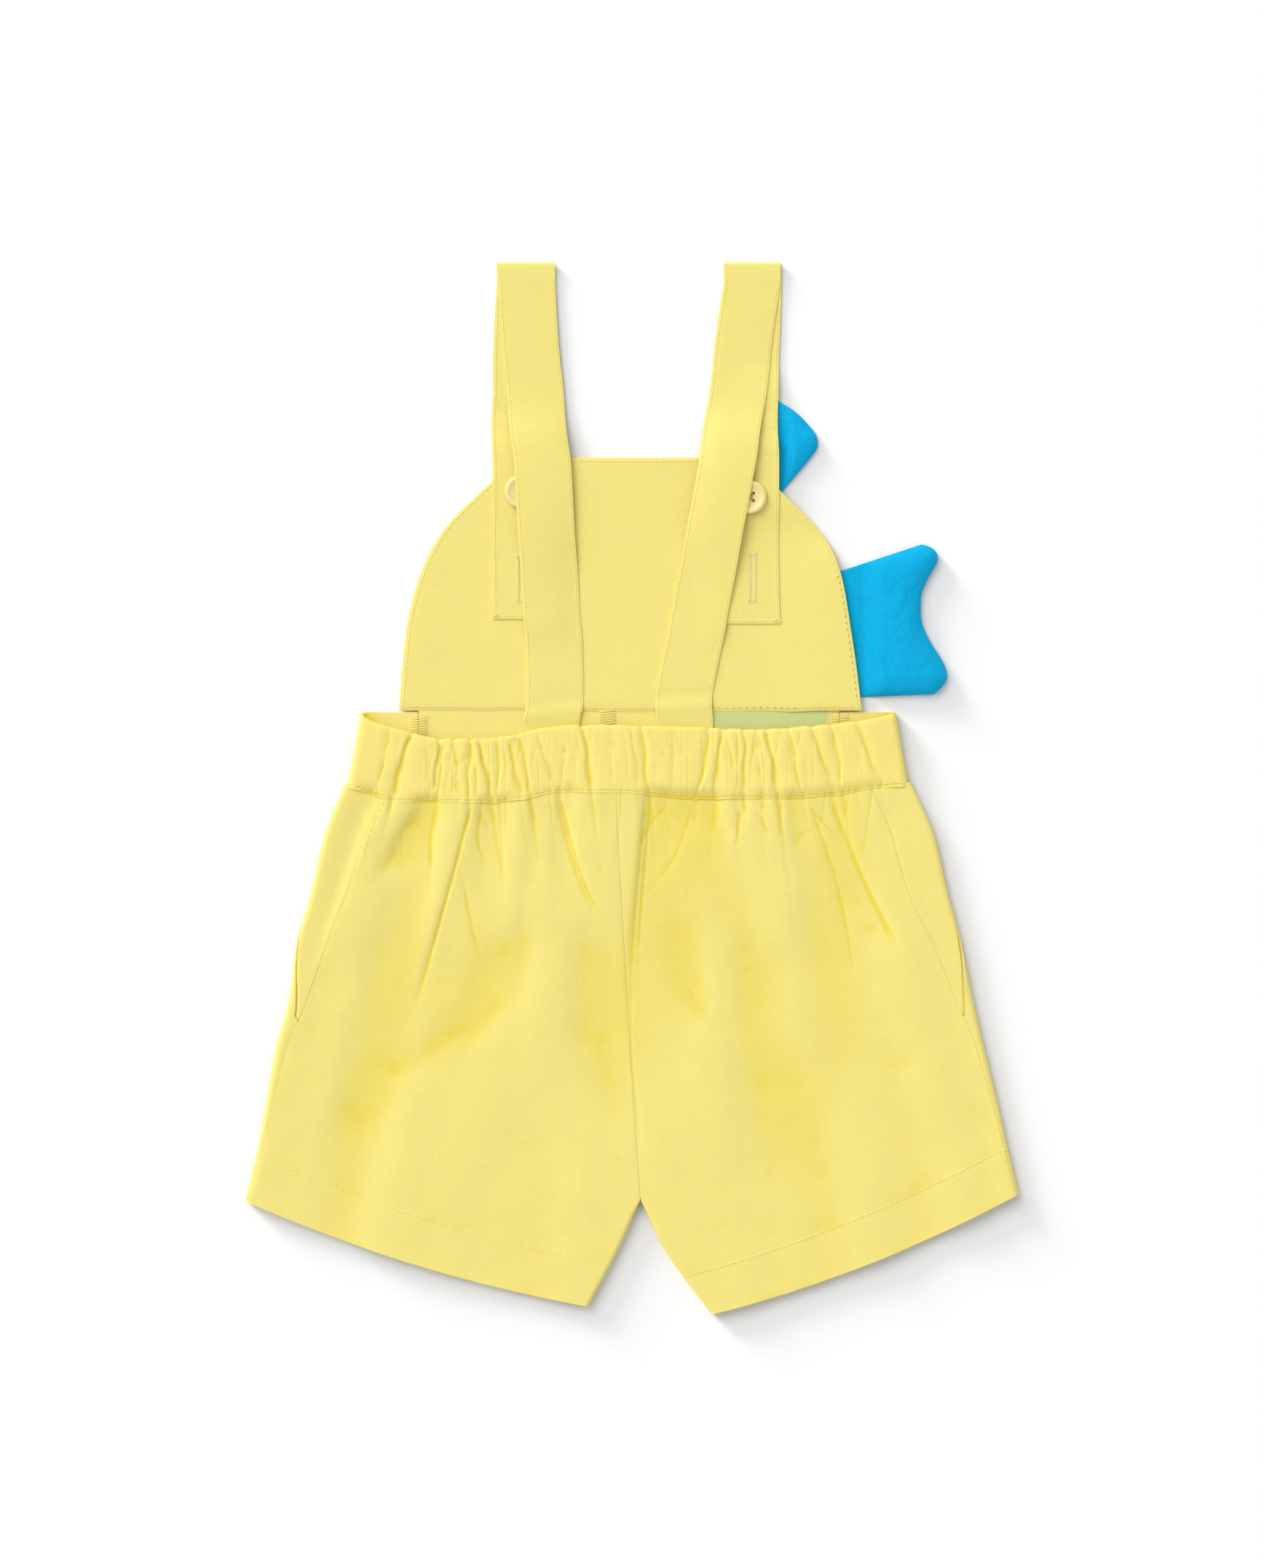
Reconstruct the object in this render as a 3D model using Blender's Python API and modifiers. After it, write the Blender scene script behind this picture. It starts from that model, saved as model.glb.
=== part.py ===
"""A baby's dungaree shorts romper, laid flat on its front with the back up.

X runs across the back to the right, Y from the leg hems up to the shoulder straps and Z up from the
surface that the romper lies on. The sizes below are millimetres, and MM turns them into metres where a
mesh is made.
"""

import math
from collections import namedtuple

import bmesh
import bpy
import numpy as np

MM = 0.001
MERGE = 0.001

# Driving sizes
CLOTH = 1.0
BAND_WALL = 1.8
FRONT_BAND_WALL = 1.6
STRAP_WALL = 1.2
STRAP_WIDTH = 25.0
SEAM_GAP = 0.3
SIDE_FOLD_RADIUS = 2.7
BAND_FOLD_RADIUS = 3.1
INSEAM_CURL = 2.2
HEM_BOW = 5.0
WAIST_BLEND = 0.25
SMALLEST_FOLD = 5.5
EDGE_COLUMN = 0.3
SIDE_SETTLE = 14.0
CURL_RUN = 0.04
# Moves the layout across so that the origin is under the middle of the part's box
CENTRE_SHIFT = 0.4

YELLOW = (0.93, 0.80, 0.26, 1.0)
PALE_YELLOW = (0.93, 0.86, 0.52, 1.0)
BLUE = (0.01, 0.42, 0.86, 1.0)

# Mesh density: columns across each panel of a leg, and columns per millimetre round the bends in it
FRONT_COLUMNS = 17
HIP_COLUMNS = 12
BACK_COLUMNS = 34
FOLD_DENSITY = 6.0
CURL_DENSITY = 4.0
FLAT_DENSITY = 1.0
ROW_LEVELS = (0, 0.025, 0.06, 0.11, 0.17, 0.23, 0.275, 0.315, 0.36, 0.41, 0.47, 0.53)

# The shorts, one row for each level from the waist (0) to the hem (1): the side fold, and how far the side
# seam lies in from that fold on the back
CROTCH = 0.79
Row = namedtuple("Row", "level side_x side_y seam_in")
LEFT_ROWS = (
    Row(0.000, -126.5, 0.6, 17.0),
    Row(0.125, -136.0, -23.0, 17.5),
    Row(0.250, -141.5, -45.5, 15.5),
    Row(0.375, -148.0, -68.0, 13.0),
    Row(0.500, -151.0, -91.0, 8.0),
    Row(0.625, -157.0, -113.5, 5.0),
    Row(0.790, -162.3, -143.0, 3.0),
    Row(0.880, -165.2, -159.0, 1.5),
    Row(1.000, -170.6, -181.0, 0.7),
)
RIGHT_ROWS = (
    Row(0.000, 122.4, 0.6, 18.0),
    Row(0.125, 133.0, -22.5, 18.5),
    Row(0.250, 138.6, -45.0, 17.0),
    Row(0.375, 144.5, -67.0, 12.0),
    Row(0.500, 149.0, -89.0, 8.0),
    Row(0.625, 154.0, -111.0, 3.5),
    Row(0.790, 161.0, -140.0, 2.2),
    Row(0.880, 164.6, -156.0, 1.4),
    Row(1.000, 169.8, -178.0, 0.7),
)
# The seam up the middle, from the waist to the crotch, and then the inseam of each leg
EdgePoint = namedtuple("EdgePoint", "x y")
CENTRE_SEAM = (EdgePoint(-7.4, -1.8), EdgePoint(-5.6, -37), EdgePoint(-1.5, -105), EdgePoint(3.4, -180.5))
InseamPoint = namedtuple("InseamPoint", "level x y")
INSEAMS = {
    "left": (InseamPoint(CROTCH, 3.4, -180.5), InseamPoint(0.88, -5.0, -200), InseamPoint(1, -19.5, -227.5)),
    "right": (InseamPoint(CROTCH, 3.4, -180.5), InseamPoint(0.88, 13.0, -201), InseamPoint(1, 34.5, -231)),
}
LOWER_LEVELS = (0.57, 0.65, 0.72, CROTCH, 0.83, 0.88, 0.94, 1)

# The slant pocket's mouth, as the girth from the middle of the side fold: negative on the front.
Mouth = namedtuple("Mouth", "level girth")
MOUTH_GAP = 0.6
POCKET_MOUTH = (Mouth(0, -37.5), Mouth(0.335, 0), Mouth(0.44, 2.5), Mouth(0.55, 5.8))

# Lower edge of the gathered waistband, where the back of the shorts begins
WAIST_EDGE = (
    EdgePoint(-126, 1.1),
    EdgePoint(-113.5, -2.7),
    EdgePoint(-102.5, -5.9),
    EdgePoint(-62.5, -5.9),
    EdgePoint(-41, -3.0),
    EdgePoint(-32, -1.4),
    EdgePoint(-3, -1.8),
    EdgePoint(28, -4.4),
    EdgePoint(65, -4.3),
    EdgePoint(92, -2.4),
    EdgePoint(105, 0.2),
    EdgePoint(121, 1.2),
)
FRONT_WAIST_EDGE = (EdgePoint(-126, 1.1), EdgePoint(-95, -1.5), EdgePoint(91, -1.5), EdgePoint(121, 1.2))
BAND_TOP_EDGE = (
    EdgePoint(-120, 33.1),
    EdgePoint(-113, 29.6),
    EdgePoint(-99.5, 25.8),
    EdgePoint(-85, 22.6),
    EdgePoint(-69, 22.6),
    EdgePoint(-55, 23.8),
    EdgePoint(-37, 27.7),
    EdgePoint(-22, 28.6),
    EdgePoint(26, 27.7),
    EdgePoint(52, 26.7),
    EdgePoint(88, 29.0),
    EdgePoint(109, 32.2),
    EdgePoint(115.5, 33.8),
)
FRONT_BAND_TOP = 34.0
BAND_TURN_LEFT = -94.7
BAND_TURN_RIGHT = 91.2
BAND_SIDE_LEFT = EdgePoint(-119.7, -125.6)
BAND_SIDE_RIGHT = EdgePoint(115.7, 121.3)

# Folds in the back of the shorts: the line of each from its upper end to its lower one, its height (a
# trough is negative) and how far it spreads to the left and to the right. A pinned one starts at the band.
Fold = namedtuple("Fold", "x0 y0 x1 y1 x2 y2 height left right pinned")
FOLDS = (
    Fold(-109, -7, -123, -42, -142, -92, 1.0, 5, 14, 1),
    Fold(-90, -8, -103, -26, -114, -47, -1.2, 6, 8, 1),
    Fold(-75, -8, -83, -37, -104, -112, 1.9, 14, 5, 1),
    Fold(-71, -8, -78, -37, -98, -110, -1.3, 4, 12, 1),
    Fold(-66, -6, -67, -21, -64, -36, -0.8, 5, 6, 1),
    Fold(-79, -36, -75, -57, -69, -82, 0.7, 5, 8, 0),
    Fold(-42, -50, -65, -90, -114, -128, 1.4, 18, 10, 0),
    Fold(-36, -56, -58, -96, -104, -134, -0.9, 9, 20, 0),
    Fold(-34, -6, -26, -36, -15, -66, -1.2, 13, 4, 1),
    Fold(-29, -4, -21, -35, -4, -70, 1.4, 4, 10, 1),
    Fold(-16, -50, -15, -105, -3, -165, -1.0, 12, 8, 0),
    Fold(6, -3, -2, -60, 1, -155, 1.6, 7, 4, 1),
    Fold(11, -5, 3, -60, 6, -155, -1.2, 4, 12, 1),
    Fold(20, -5, 12, -15, 5, -27, 0.7, 4, 6, 1),
    Fold(31, -5, 21, -31, 3, -54, 0.9, 5, 10, 1),
    Fold(51, -5, 50, -15, 48, -31, 0.7, 5, 6, 1),
    Fold(55, -8, 63, -40, 67, -80, 1.0, 10, 14, 1),
    Fold(74, -6, 87, -46, 96, -98, 0.9, 8, 7, 1),
    Fold(86, -6, 100, -42, 127, -96, -1.0, 12, 5, 1),
    Fold(91, -5, 106, -42, 138, -100, 1.5, 5, 12, 1),
    Fold(107, -60, 114, -91, 121, -120, 0.5, 7, 9, 0),
    Fold(60, -105, 68, -150, 64, -190, -0.5, 15, 18, 0),
    Fold(-104, -110, -118, -140, -128, -165, -0.5, 10, 12, 0),
)
BACK_HEIGHT = 4.2
FOLD_FADE_IN = 0.3
FOLD_FADE_OUT = 0.5
BACK_SWING = 1.75
GATHER_HEIGHT = 0.55
GATHER_REACH = 14.0
GATHER_SPACING = 12.5
GATHER_DRIFT = 0.02
RIPPLE_SHARE = 0.5
RIPPLE_SPACING = 19.5
RIPPLE_START = 1.0

# Creases of the gathered waistband, from its top edge (0) to its lower edge (1)
Crease = namedtuple("Crease", "x_top x_bottom depth half_width start end")
CREASES = (
    Crease(-107.0, -112.3, 0.5, 1.6, 0.1, 1.0),
    Crease(-97.5, -106.0, 1.2, 2.0, 0.1, 1.0),
    Crease(-89.5, -89.5, 0.4, 1.3, 0.5, 1.0),
    Crease(-85.5, -87.3, 0.8, 1.3, 0.0, 0.7),
    Crease(-82.5, -86.1, 0.7, 1.3, 0.2, 1.0),
    Crease(-78.8, -77.0, 0.5, 1.3, 0.0, 0.7),
    Crease(-71.0, -72.2, 1.1, 1.5, 0.0, 1.0),
    Crease(-67.8, -62.2, 1.2, 1.7, 0.1, 1.0),
    Crease(-59.8, -58.4, 0.8, 1.4, 0.0, 0.9),
    Crease(-54.5, -49.3, 0.8, 1.7, 0.2, 1.0),
    Crease(-49.9, -45.0, 1.0, 1.6, 0.1, 1.0),
    Crease(-43.9, -32.5, 0.4, 2.0, 0.1, 1.0),
    Crease(-28.5, -32.0, 0.4, 1.6, 0.4, 1.0),
    Crease(-22.5, -18.0, 1.1, 1.8, 0.0, 1.0),
    Crease(-9.5, -8.5, 0.3, 2.2, 0.0, 0.7),
    Crease(-0.7, 2.3, 0.4, 1.5, 0.0, 0.8),
    Crease(3.5, 7.5, 1.1, 1.7, 0.0, 1.0),
    Crease(18.0, 17.0, 0.3, 2.4, 0.1, 0.9),
    Crease(34.0, 28.5, 0.9, 1.6, 0.0, 1.0),
    Crease(38.7, 36.0, 0.8, 1.5, 0.0, 1.0),
    Crease(42.0, 45.4, 0.5, 1.4, 0.0, 0.5),
    Crease(48.6, 49.0, 0.8, 1.5, 0.0, 1.0),
    Crease(54.5, 57.0, 0.5, 1.4, 0.0, 0.6),
    Crease(58.6, 63.8, 1.1, 1.7, 0.1, 1.0),
    Crease(68.2, 75.0, 0.8, 1.6, 0.0, 1.0),
    Crease(79.0, 88.0, 0.7, 2.2, 0.0, 1.0),
    Crease(87.2, 92.8, 0.8, 1.6, 0.0, 1.0),
    Crease(98.0, 109.3, 0.7, 2.3, 0.0, 1.0),
)
CREASE_FADE = 0.15
BAND_HEIGHT = 6.3
BAND_COLUMN_STEP = 2.6
BAND_DOWNS = (1.0, 0.75, 0.5, 0.25, 0.0)
BAND_FOLD_COLUMNS = 7
# The stretch that turns under, in the units of band_point
BAND_UNDER = (2.5, 3.0)
FRONT_BAND_COLUMNS = 8

# The bib: both sides of its outline at each height, from the top edge to the waistband
BibRow = namedtuple("BibRow", "y left right")
BIB_ROWS = (
    BibRow(146.1, -53.5, 52.5),
    BibRow(143.5, -56.5, 55.5),
    BibRow(137.0, -61.0, 60.0),
    BibRow(129.4, -68.8, 66.9),
    BibRow(116.6, -81.5, 80.0),
    BibRow(103.8, -89.6, 88.4),
    BibRow(91.0, -94.8, 92.6),
    BibRow(72.0, -99.4, 95.8),
    BibRow(53.0, -101.5, 98.6),
    BibRow(34.4, -103.0, 100.8),
)

BIB_LEVELS = (34.4, 37.5, 44, 53, 64, 76, 88, 98, 105, 113, 121, 129, 136, 141, 144, 146.1)
BIB_COLUMNS = 16
# How much of the spacing of the bib's columns is drawn towards its sides
BIB_SIDE_SHARE = 0.35

# Each strap's route: the middle of its upper run from inside the waistband to the fold at the top, then
# its lower run to the buttoned end. `z` is the height of its underside.
Station = namedtuple("Station", "y x z")
STRAP_FOLD_Y = 229.5
STRAP_RUN_GAP = 0.4
LEFT_UPPER_RUN = (
    Station(22, -36.2, 2.0),
    Station(30, -35.8, 2.1),
    Station(38, -34.3, 2.7),
    Station(62, -34.9, 2.8),
    Station(74, -35.4, 4.2),
    Station(105, -37.4, 4.3),
    Station(121, -38.6, 6.5),
    Station(131, -39.2, 6.7),
    Station(141, -39.8, 6.4),
    Station(155, -41.2, 4.2),
    Station(178, -43.3, 1.9),
    Station(206, -45.8, 1.6),
    Station(224, -46.8, 1.6),
)
LEFT_LOWER_RUN = (
    Station(224, -47.3, 0),
    Station(206, -48.3, 0),
    Station(168, -49.3, 0),
    Station(149, -49.4, 2.6),
    Station(105, -49.3, 2.6),
    Station(75, -48.8, 2.6),
)
RIGHT_UPPER_RUN = (
    Station(22, 22.9, 2.0),
    Station(30, 22.9, 2.1),
    Station(38, 22.3, 2.7),
    Station(60, 25.8, 2.9),
    Station(72, 28.5, 4.2),
    Station(102, 33.9, 4.3),
    Station(118, 36.7, 7.8),
    Station(128.5, 38.6, 8.0),
    Station(139, 40.4, 7.6),
    Station(155, 43.2, 4.2),
    Station(178, 46.8, 1.9),
    Station(199, 49.2, 1.6),
    Station(224, 52.6, 1.6),
)
RIGHT_LOWER_RUN = (
    Station(224, 53.0, 0),
    Station(206, 52.6, 0),
    Station(168, 51.5, 0),
    Station(149, 51.6, 2.6),
    Station(105, 51.6, 2.6),
    Station(73, 52.6, 2.6),
)
STRAP_STEP = 6.5
STRAP_COLUMNS = 4
STRAP_FOLD_STEPS = 6

# Buttons, sewn to the bib through the used buttonhole
BUTTON_RADIUS = 7.35
BUTTON_THICKNESS = 2.0
BUTTON_LIFT = 4.3
# Half section of a button, from the middle of its dished face over the rim to the middle of its back
ProfilePoint = namedtuple("ProfilePoint", "r z")
BUTTON_PROFILE = (
    ProfilePoint(0, 1.45),
    ProfilePoint(4.75, 1.45),
    ProfilePoint(5.45, 1.95),
    ProfilePoint(6.35, BUTTON_THICKNESS),
    ProfilePoint(7.1, 1.65),
    ProfilePoint(BUTTON_RADIUS, 1.05),
    ProfilePoint(7.0, 0.4),
    ProfilePoint(5.95, 0),
    ProfilePoint(0, 0),
)
BUTTON_STEPS = 28
BUTTON_HOLES = 4
BUTTON_HOLE_SIDES = 10
BUTTON_HOLE_RADIUS = 0.8
BUTTON_HOLE_OFFSET = 1.8
SHANK_WIDTH = 1.4
SHANK_LENGTH = 3.0
SLOT_WIDTH = 2.2
SLOT_LENGTH = 17.0
SLOT_CUT_HEIGHT = 2.4
LINING_TOP = 2 * CLOTH + SEAM_GAP
BUTTONS = (("left", EdgePoint(-49.0, 131.0)), ("right", EdgePoint(51.4, 128.5)))

# Padded fins, sewn on under the bib: the root line and the free edge, from the upper end to the lower one
FinEdge = namedtuple("FinEdge", "along x y")
TAIL_ROOT = (FinEdge(0, 87, 95), FinEdge(1, 90, 40))
TAIL_EDGE = (
    FinEdge(0.00, 127.0, 108.3),
    FinEdge(0.06, 133.1, 106.8),
    FinEdge(0.11, 135.4, 102.6),
    FinEdge(0.22, 130.8, 93.9),
    FinEdge(0.36, 127.4, 84.6),
    FinEdge(0.50, 127.4, 76.3),
    FinEdge(0.66, 130.8, 66.4),
    FinEdge(0.82, 137.0, 56.2),
    FinEdge(0.91, 139.2, 49.8),
    FinEdge(0.97, 137.9, 45.3),
    FinEdge(1.00, 132.5, 41.4),
)
UPPER_ROOT = (FinEdge(0, 59.5, 172.0), FinEdge(1, 59.5, 129.5))
UPPER_EDGE = (
    FinEdge(0.00, 62.5, 172.2),
    FinEdge(0.18, 71.7, 166.6),
    FinEdge(0.34, 78.0, 160.2),
    FinEdge(0.48, 81.6, 155.0),
    FinEdge(0.56, 81.9, 151.5),
    FinEdge(0.70, 78.4, 146.1),
    FinEdge(0.86, 71.7, 138.1),
    FinEdge(1.00, 64.5, 129.5),
)
# Each fin's fullest thickness, its mesh counts, and where it swells past its flat root: from x, within a run
Fin = namedtuple("Fin", "name root edge thickness outs alongs swell_x swell_run")
FINS = (
    Fin("fin_upper", UPPER_ROOT, UPPER_EDGE, 3.6, 7, 10, 66.0, 6.0),
    Fin("fin_tail", TAIL_ROOT, TAIL_EDGE, 5.0, 12, 14, 101.0, 10.0),
)
FIN_ROOT_THICKNESS = 1.0
FIN_RIM = 1.2
FIN_DOME_REACH = 9.0
FIN_LIFT = FIN_ROOT_THICKNESS + SEAM_GAP
# Where the bib and a strap ride over a fin's root: from x on to the right, between two heights
Ride = namedtuple("Ride", "x run low high margin")
RIDES = (Ride(70, 14, 38, 98, 10), Ride(46, 12, 128, 174, 10))


def smooth_step(value):
    value = np.clip(value, 0, 1)
    return value * value * (3 - 2 * value)


def follow(knots, values, at):
    """A smooth curve through the values that never swings past them."""
    knots = np.asarray(knots, float)
    values = np.asarray(values, float)
    slopes = np.diff(values) / np.diff(knots)
    before = slopes[:-1]
    after = slopes[1:]
    same_way = before * after > 0
    inner = np.where(same_way, 2 * before * after / np.where(same_way, before + after, 1), 0)
    tangents = np.concatenate([slopes[:1], inner, slopes[-1:]])
    at = np.clip(at, knots[0], knots[-1])
    span = np.clip(np.searchsorted(knots, at, side="right") - 1, 0, len(knots) - 2)
    width = knots[span + 1] - knots[span]
    t = (at - knots[span]) / width
    rise = values[span + 1] - values[span]
    start = tangents[span] * width
    end = tangents[span + 1] * width
    return values[span] + t * start + t**2 * (3 * rise - 2 * start - end) + t**3 * (start + end - 2 * rise)


def read(table, key, name, at):
    """One column of a table, read at places along its key column."""
    rows = sorted(table, key=lambda row: getattr(row, key))
    return follow([getattr(row, key) for row in rows], [getattr(row, name) for row in rows], at)


def fin_lift(x, y):
    """How far cloth rides up over the roots of the fins."""
    lift = np.zeros_like(x * y)
    for ride in RIDES:
        across = smooth_step((x - ride.x) / ride.run)
        above_low = smooth_step((y - ride.low) / ride.margin + 1)
        below_high = smooth_step((ride.high - y) / ride.margin + 1)
        lift = np.maximum(lift, FIN_LIFT * across * above_low * below_high)
    return lift


def fold_relief(x, y):
    """Height of the folds in the back of the shorts above its mean."""
    relief = np.zeros_like(x * y)
    for fold in FOLDS:
        line = follow((fold.y2, fold.y1, fold.y0), (fold.x2, fold.x1, fold.x0), y)
        slant = math.atan2(fold.x2 - fold.x0, fold.y0 - fold.y2)
        away = (x - line) * math.cos(slant)
        spread = np.where(away < 0, max(fold.left, SMALLEST_FOLD), max(fold.right, SMALLEST_FOLD))
        down = (fold.y0 - y) / (fold.y0 - fold.y2)
        start = 1 if fold.pinned else smooth_step(down / FOLD_FADE_IN)
        strength = smooth_step((1 - down) / FOLD_FADE_OUT) * start
        relief += fold.height * np.exp(-((away / spread) ** 2)) * strength
    below_band = read(WAIST_EDGE, "x", "y", x) - y
    gathers = np.sin(2 * math.pi * x / GATHER_SPACING + GATHER_DRIFT * x)
    ripples = np.sin(2 * math.pi * x / RIPPLE_SPACING + RIPPLE_START)
    fading = np.exp(-np.maximum(below_band, 0) / GATHER_REACH)
    return relief + GATHER_HEIGHT * (gathers + RIPPLE_SHARE * ripples) * fading


def back_height(x, y):
    """Height of the outer face of the shorts' back, kept close over the front."""
    return BACK_HEIGHT + BACK_SWING * np.tanh(fold_relief(x, y) / BACK_SWING)


def seam_girth(rows, level):
    """The side seam's place as a girth from the middle of the side fold."""
    inset = read(rows, "level", "seam_in", level)
    on_fold = SIDE_FOLD_RADIUS * np.arccos(np.clip(1 - inset / SIDE_FOLD_RADIUS, -1, 1))
    past_fold = SIDE_FOLD_RADIUS * math.pi / 2 + inset - SIDE_FOLD_RADIUS
    return np.where(inset < SIDE_FOLD_RADIUS, on_fold, past_fold)


def mouth_girth(rows, level):
    """Where the front panel ends: at the pocket mouth, and below it at the side seam."""
    mouth = read(POCKET_MOUTH, "level", "girth", level)
    return np.where(level < POCKET_MOUTH[-1].level, mouth, seam_girth(rows, level))


def inner_point(rows, level):
    """The inner end of a row: on the seam up the middle, and below the crotch on the leg's own inseam."""
    seam_y = CENTRE_SEAM[0].y + (CENTRE_SEAM[-1].y - CENTRE_SEAM[0].y) * level / CROTCH
    seam_x = read(CENTRE_SEAM, "y", "x", seam_y)
    inseam = INSEAMS["left" if rows is LEFT_ROWS else "right"]
    above = level <= CROTCH
    x = np.where(above, seam_x, read(inseam, "level", "x", level))
    return x, np.where(above, seam_y, read(inseam, "level", "y", level))


def row_length(rows, level):
    inner_x, inner_y = inner_point(rows, level)
    across = read(rows, "level", "side_x", level) - inner_x
    along = read(rows, "level", "side_y", level) - inner_y
    return np.hypot(across, along)


def inner_girth(rows, level):
    """Girth from the middle of the side fold to the inner edge."""
    return row_length(rows, level) - SIDE_FOLD_RADIUS * (1 - math.pi / 2) - SEAM_GAP / 2


def shorts_point(rows, level, girth):
    """A point on the outside of one leg: girth is negative on the front and positive on the back."""
    inner_x, inner_y = inner_point(rows, level)
    side_x = read(rows, "level", "side_x", level)
    side_y = read(rows, "level", "side_y", level)
    length = row_length(rows, level)
    quarter = SIDE_FOLD_RADIUS * math.pi / 2
    angle = np.clip(girth / SIDE_FOLD_RADIUS, -math.pi / 2, math.pi / 2)
    inset = SIDE_FOLD_RADIUS * (1 - np.cos(angle)) + np.maximum(np.abs(girth) - quarter, 0)
    across = 1 - inset / length
    x = inner_x + (side_x - inner_x) * across
    y = inner_y + (side_y - inner_y) * across - 4 * HEM_BOW * level**2 * across * (1 - across)
    on_back = girth > 0
    waist = np.where(on_back, read(WAIST_EDGE, "x", "y", x), read(FRONT_WAIST_EDGE, "x", "y", x))
    straight_waist = CENTRE_SEAM[0].y + (rows[0].side_y - CENTRE_SEAM[0].y) * across
    y += (waist - SEAM_GAP - straight_waist) * (1 - smooth_step(level / WAIST_BLEND))
    settle = smooth_step((np.abs(girth) - quarter) / SIDE_SETTLE)
    fold_top = 2 * SIDE_FOLD_RADIUS
    top = fold_top + (back_height(x, y) - fold_top) * settle
    z = np.where(on_back & (np.abs(girth) > quarter), top, SIDE_FOLD_RADIUS * (1 + np.sin(angle)))
    # Below the crotch the front and the back curl towards each other at the inseam.
    curl = smooth_step((level - CROTCH) / CURL_RUN)
    from_edge = np.clip((length - inset) / INSEAM_CURL, 0, 1)
    closing = (1 - np.sqrt(1 - (1 - from_edge) ** 2)) * curl
    meeting = BACK_HEIGHT / 2 + np.where(on_back, SEAM_GAP, -SEAM_GAP) / 2
    return x, y, z + (meeting - z) * closing


def spaced_girths(start, end, length, columns):
    """Girths from start to end, closer together round the side fold and at the inseam.

    A narrow column along each cut edge keeps the wall there square to the curve that it ends on.
    """
    quarter = SIDE_FOLD_RADIUS * math.pi / 2
    inner = length - SIDE_FOLD_RADIUS * (1 - math.pi / 2)
    places = np.array([-inner, -inner + INSEAM_CURL, -quarter, quarter, inner - INSEAM_CURL, inner])
    weights = np.array([CURL_DENSITY, FLAT_DENSITY, FOLD_DENSITY, FLAT_DENSITY, CURL_DENSITY])
    counts = np.concatenate([[0], np.cumsum(np.diff(places) * weights)])
    first = start + EDGE_COLUMN
    last = end - EDGE_COLUMN
    ends = np.interp((first, last), places, counts)
    between = np.interp(np.linspace(ends[0], ends[1], columns + 1), counts, places)
    return np.concatenate([[start], between, [end]])


def material(name, colour, roughness):
    """A plain Principled material with the piece's own colour."""
    made = bpy.data.materials.new(name)
    made.use_nodes = True
    shader = made.node_tree.nodes["Principled BSDF"]
    shader.inputs["Base Color"].default_value = colour
    shader.inputs["Roughness"].default_value = roughness
    shader.inputs["Metallic"].default_value = 0.0
    return made


def new_object(name, form, collection, finish):
    """An object made from a bmesh whose points are millimetres in the layout."""
    bmesh.ops.translate(form, vec=(CENTRE_SHIFT, 0, 0), verts=form.verts)
    bmesh.ops.scale(form, vec=(MM, MM, MM), verts=form.verts)
    mesh = bpy.data.meshes.new(name)
    form.to_mesh(mesh)
    form.free()
    mesh.shade_smooth()
    mesh.materials.append(finish)
    made = bpy.data.objects.new(name, mesh)
    collection.objects.link(made)
    return made


def helper(name, form, collection, finish):
    """An object that only cuts or joins, and isn't a piece of its own."""
    made = new_object(name, form, collection, finish)
    made.hide_render = True
    made.display_type = "WIRE"
    return made


def grid_form(points):
    """A bmesh grid moved on to the points, an array of rows, columns and coordinates."""
    rows, columns = points.shape[:2]
    form = bmesh.new()
    bmesh.ops.create_grid(form, x_segments=columns - 1, y_segments=rows - 1, size=0.5)
    for vert in form.verts:
        column = round((vert.co.x + 0.5) * (columns - 1))
        row = round((vert.co.y + 0.5) * (rows - 1))
        vert.co = points[row, column]
    return form


def cloth(name, points, wall, collection, finish, offset=-1):
    """An open sheet given its wall by Solidify, inwards from the outer face unless offset says otherwise."""
    made = new_object(name, grid_form(points), collection, finish)
    solid = made.modifiers.new("wall", "SOLIDIFY")
    solid.thickness = wall * MM
    solid.offset = offset
    solid.use_even_offset = True
    return made


def shorts_panel(name, rows, levels, start, end, columns, collection, finish):
    """One cut piece of a leg, between two girths that each follow the level."""
    lines = []
    for level in levels:
        girths = spaced_girths(start(level), end(level), float(row_length(rows, level)), columns)
        lines.append(np.stack(shorts_point(rows, level, girths), axis=-1))
    points = np.array(lines)
    # Walking from the front round to the back turns the other way on the left leg.
    if rows is LEFT_ROWS:
        points = points[:, ::-1]
    return cloth(name, points, CLOTH, collection, finish)


def build_leg(side, rows, collection, finish):
    """The front panel, the pocket's hip piece and the back panel of one leg."""
    half_gap = SEAM_GAP / 2
    levels = ROW_LEVELS + LOWER_LEVELS
    shorts_panel(
        f"shorts_front_{side}",
        rows,
        levels,
        lambda level: -inner_girth(rows, level),
        lambda level: mouth_girth(rows, level) - half_gap,
        FRONT_COLUMNS,
        collection,
        finish,
    )
    shorts_panel(
        f"hip_piece_{side}",
        rows,
        ROW_LEVELS,
        lambda level: mouth_girth(rows, level) + MOUTH_GAP - half_gap,
        lambda level: seam_girth(rows, level) - half_gap,
        HIP_COLUMNS,
        collection,
        finish,
    )
    shorts_panel(
        f"shorts_back_{side}",
        rows,
        levels,
        lambda level: seam_girth(rows, level) + half_gap,
        lambda level: inner_girth(rows, level),
        BACK_COLUMNS,
        collection,
        finish,
    )


def band_height(x, down):
    """Height of the gathered band's outer face: creases sink between soft rolls."""
    height = np.full_like(x * down, BAND_HEIGHT)
    for crease in CREASES:
        line = crease.x_top + (crease.x_bottom - crease.x_top) * down
        above = smooth_step((down - crease.start) / CREASE_FADE + 1)
        below = smooth_step((crease.end - down) / CREASE_FADE + 1)
        height -= crease.depth * above * below * np.exp(-(((x - line) / crease.half_width) ** 2))
    return height


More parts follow.
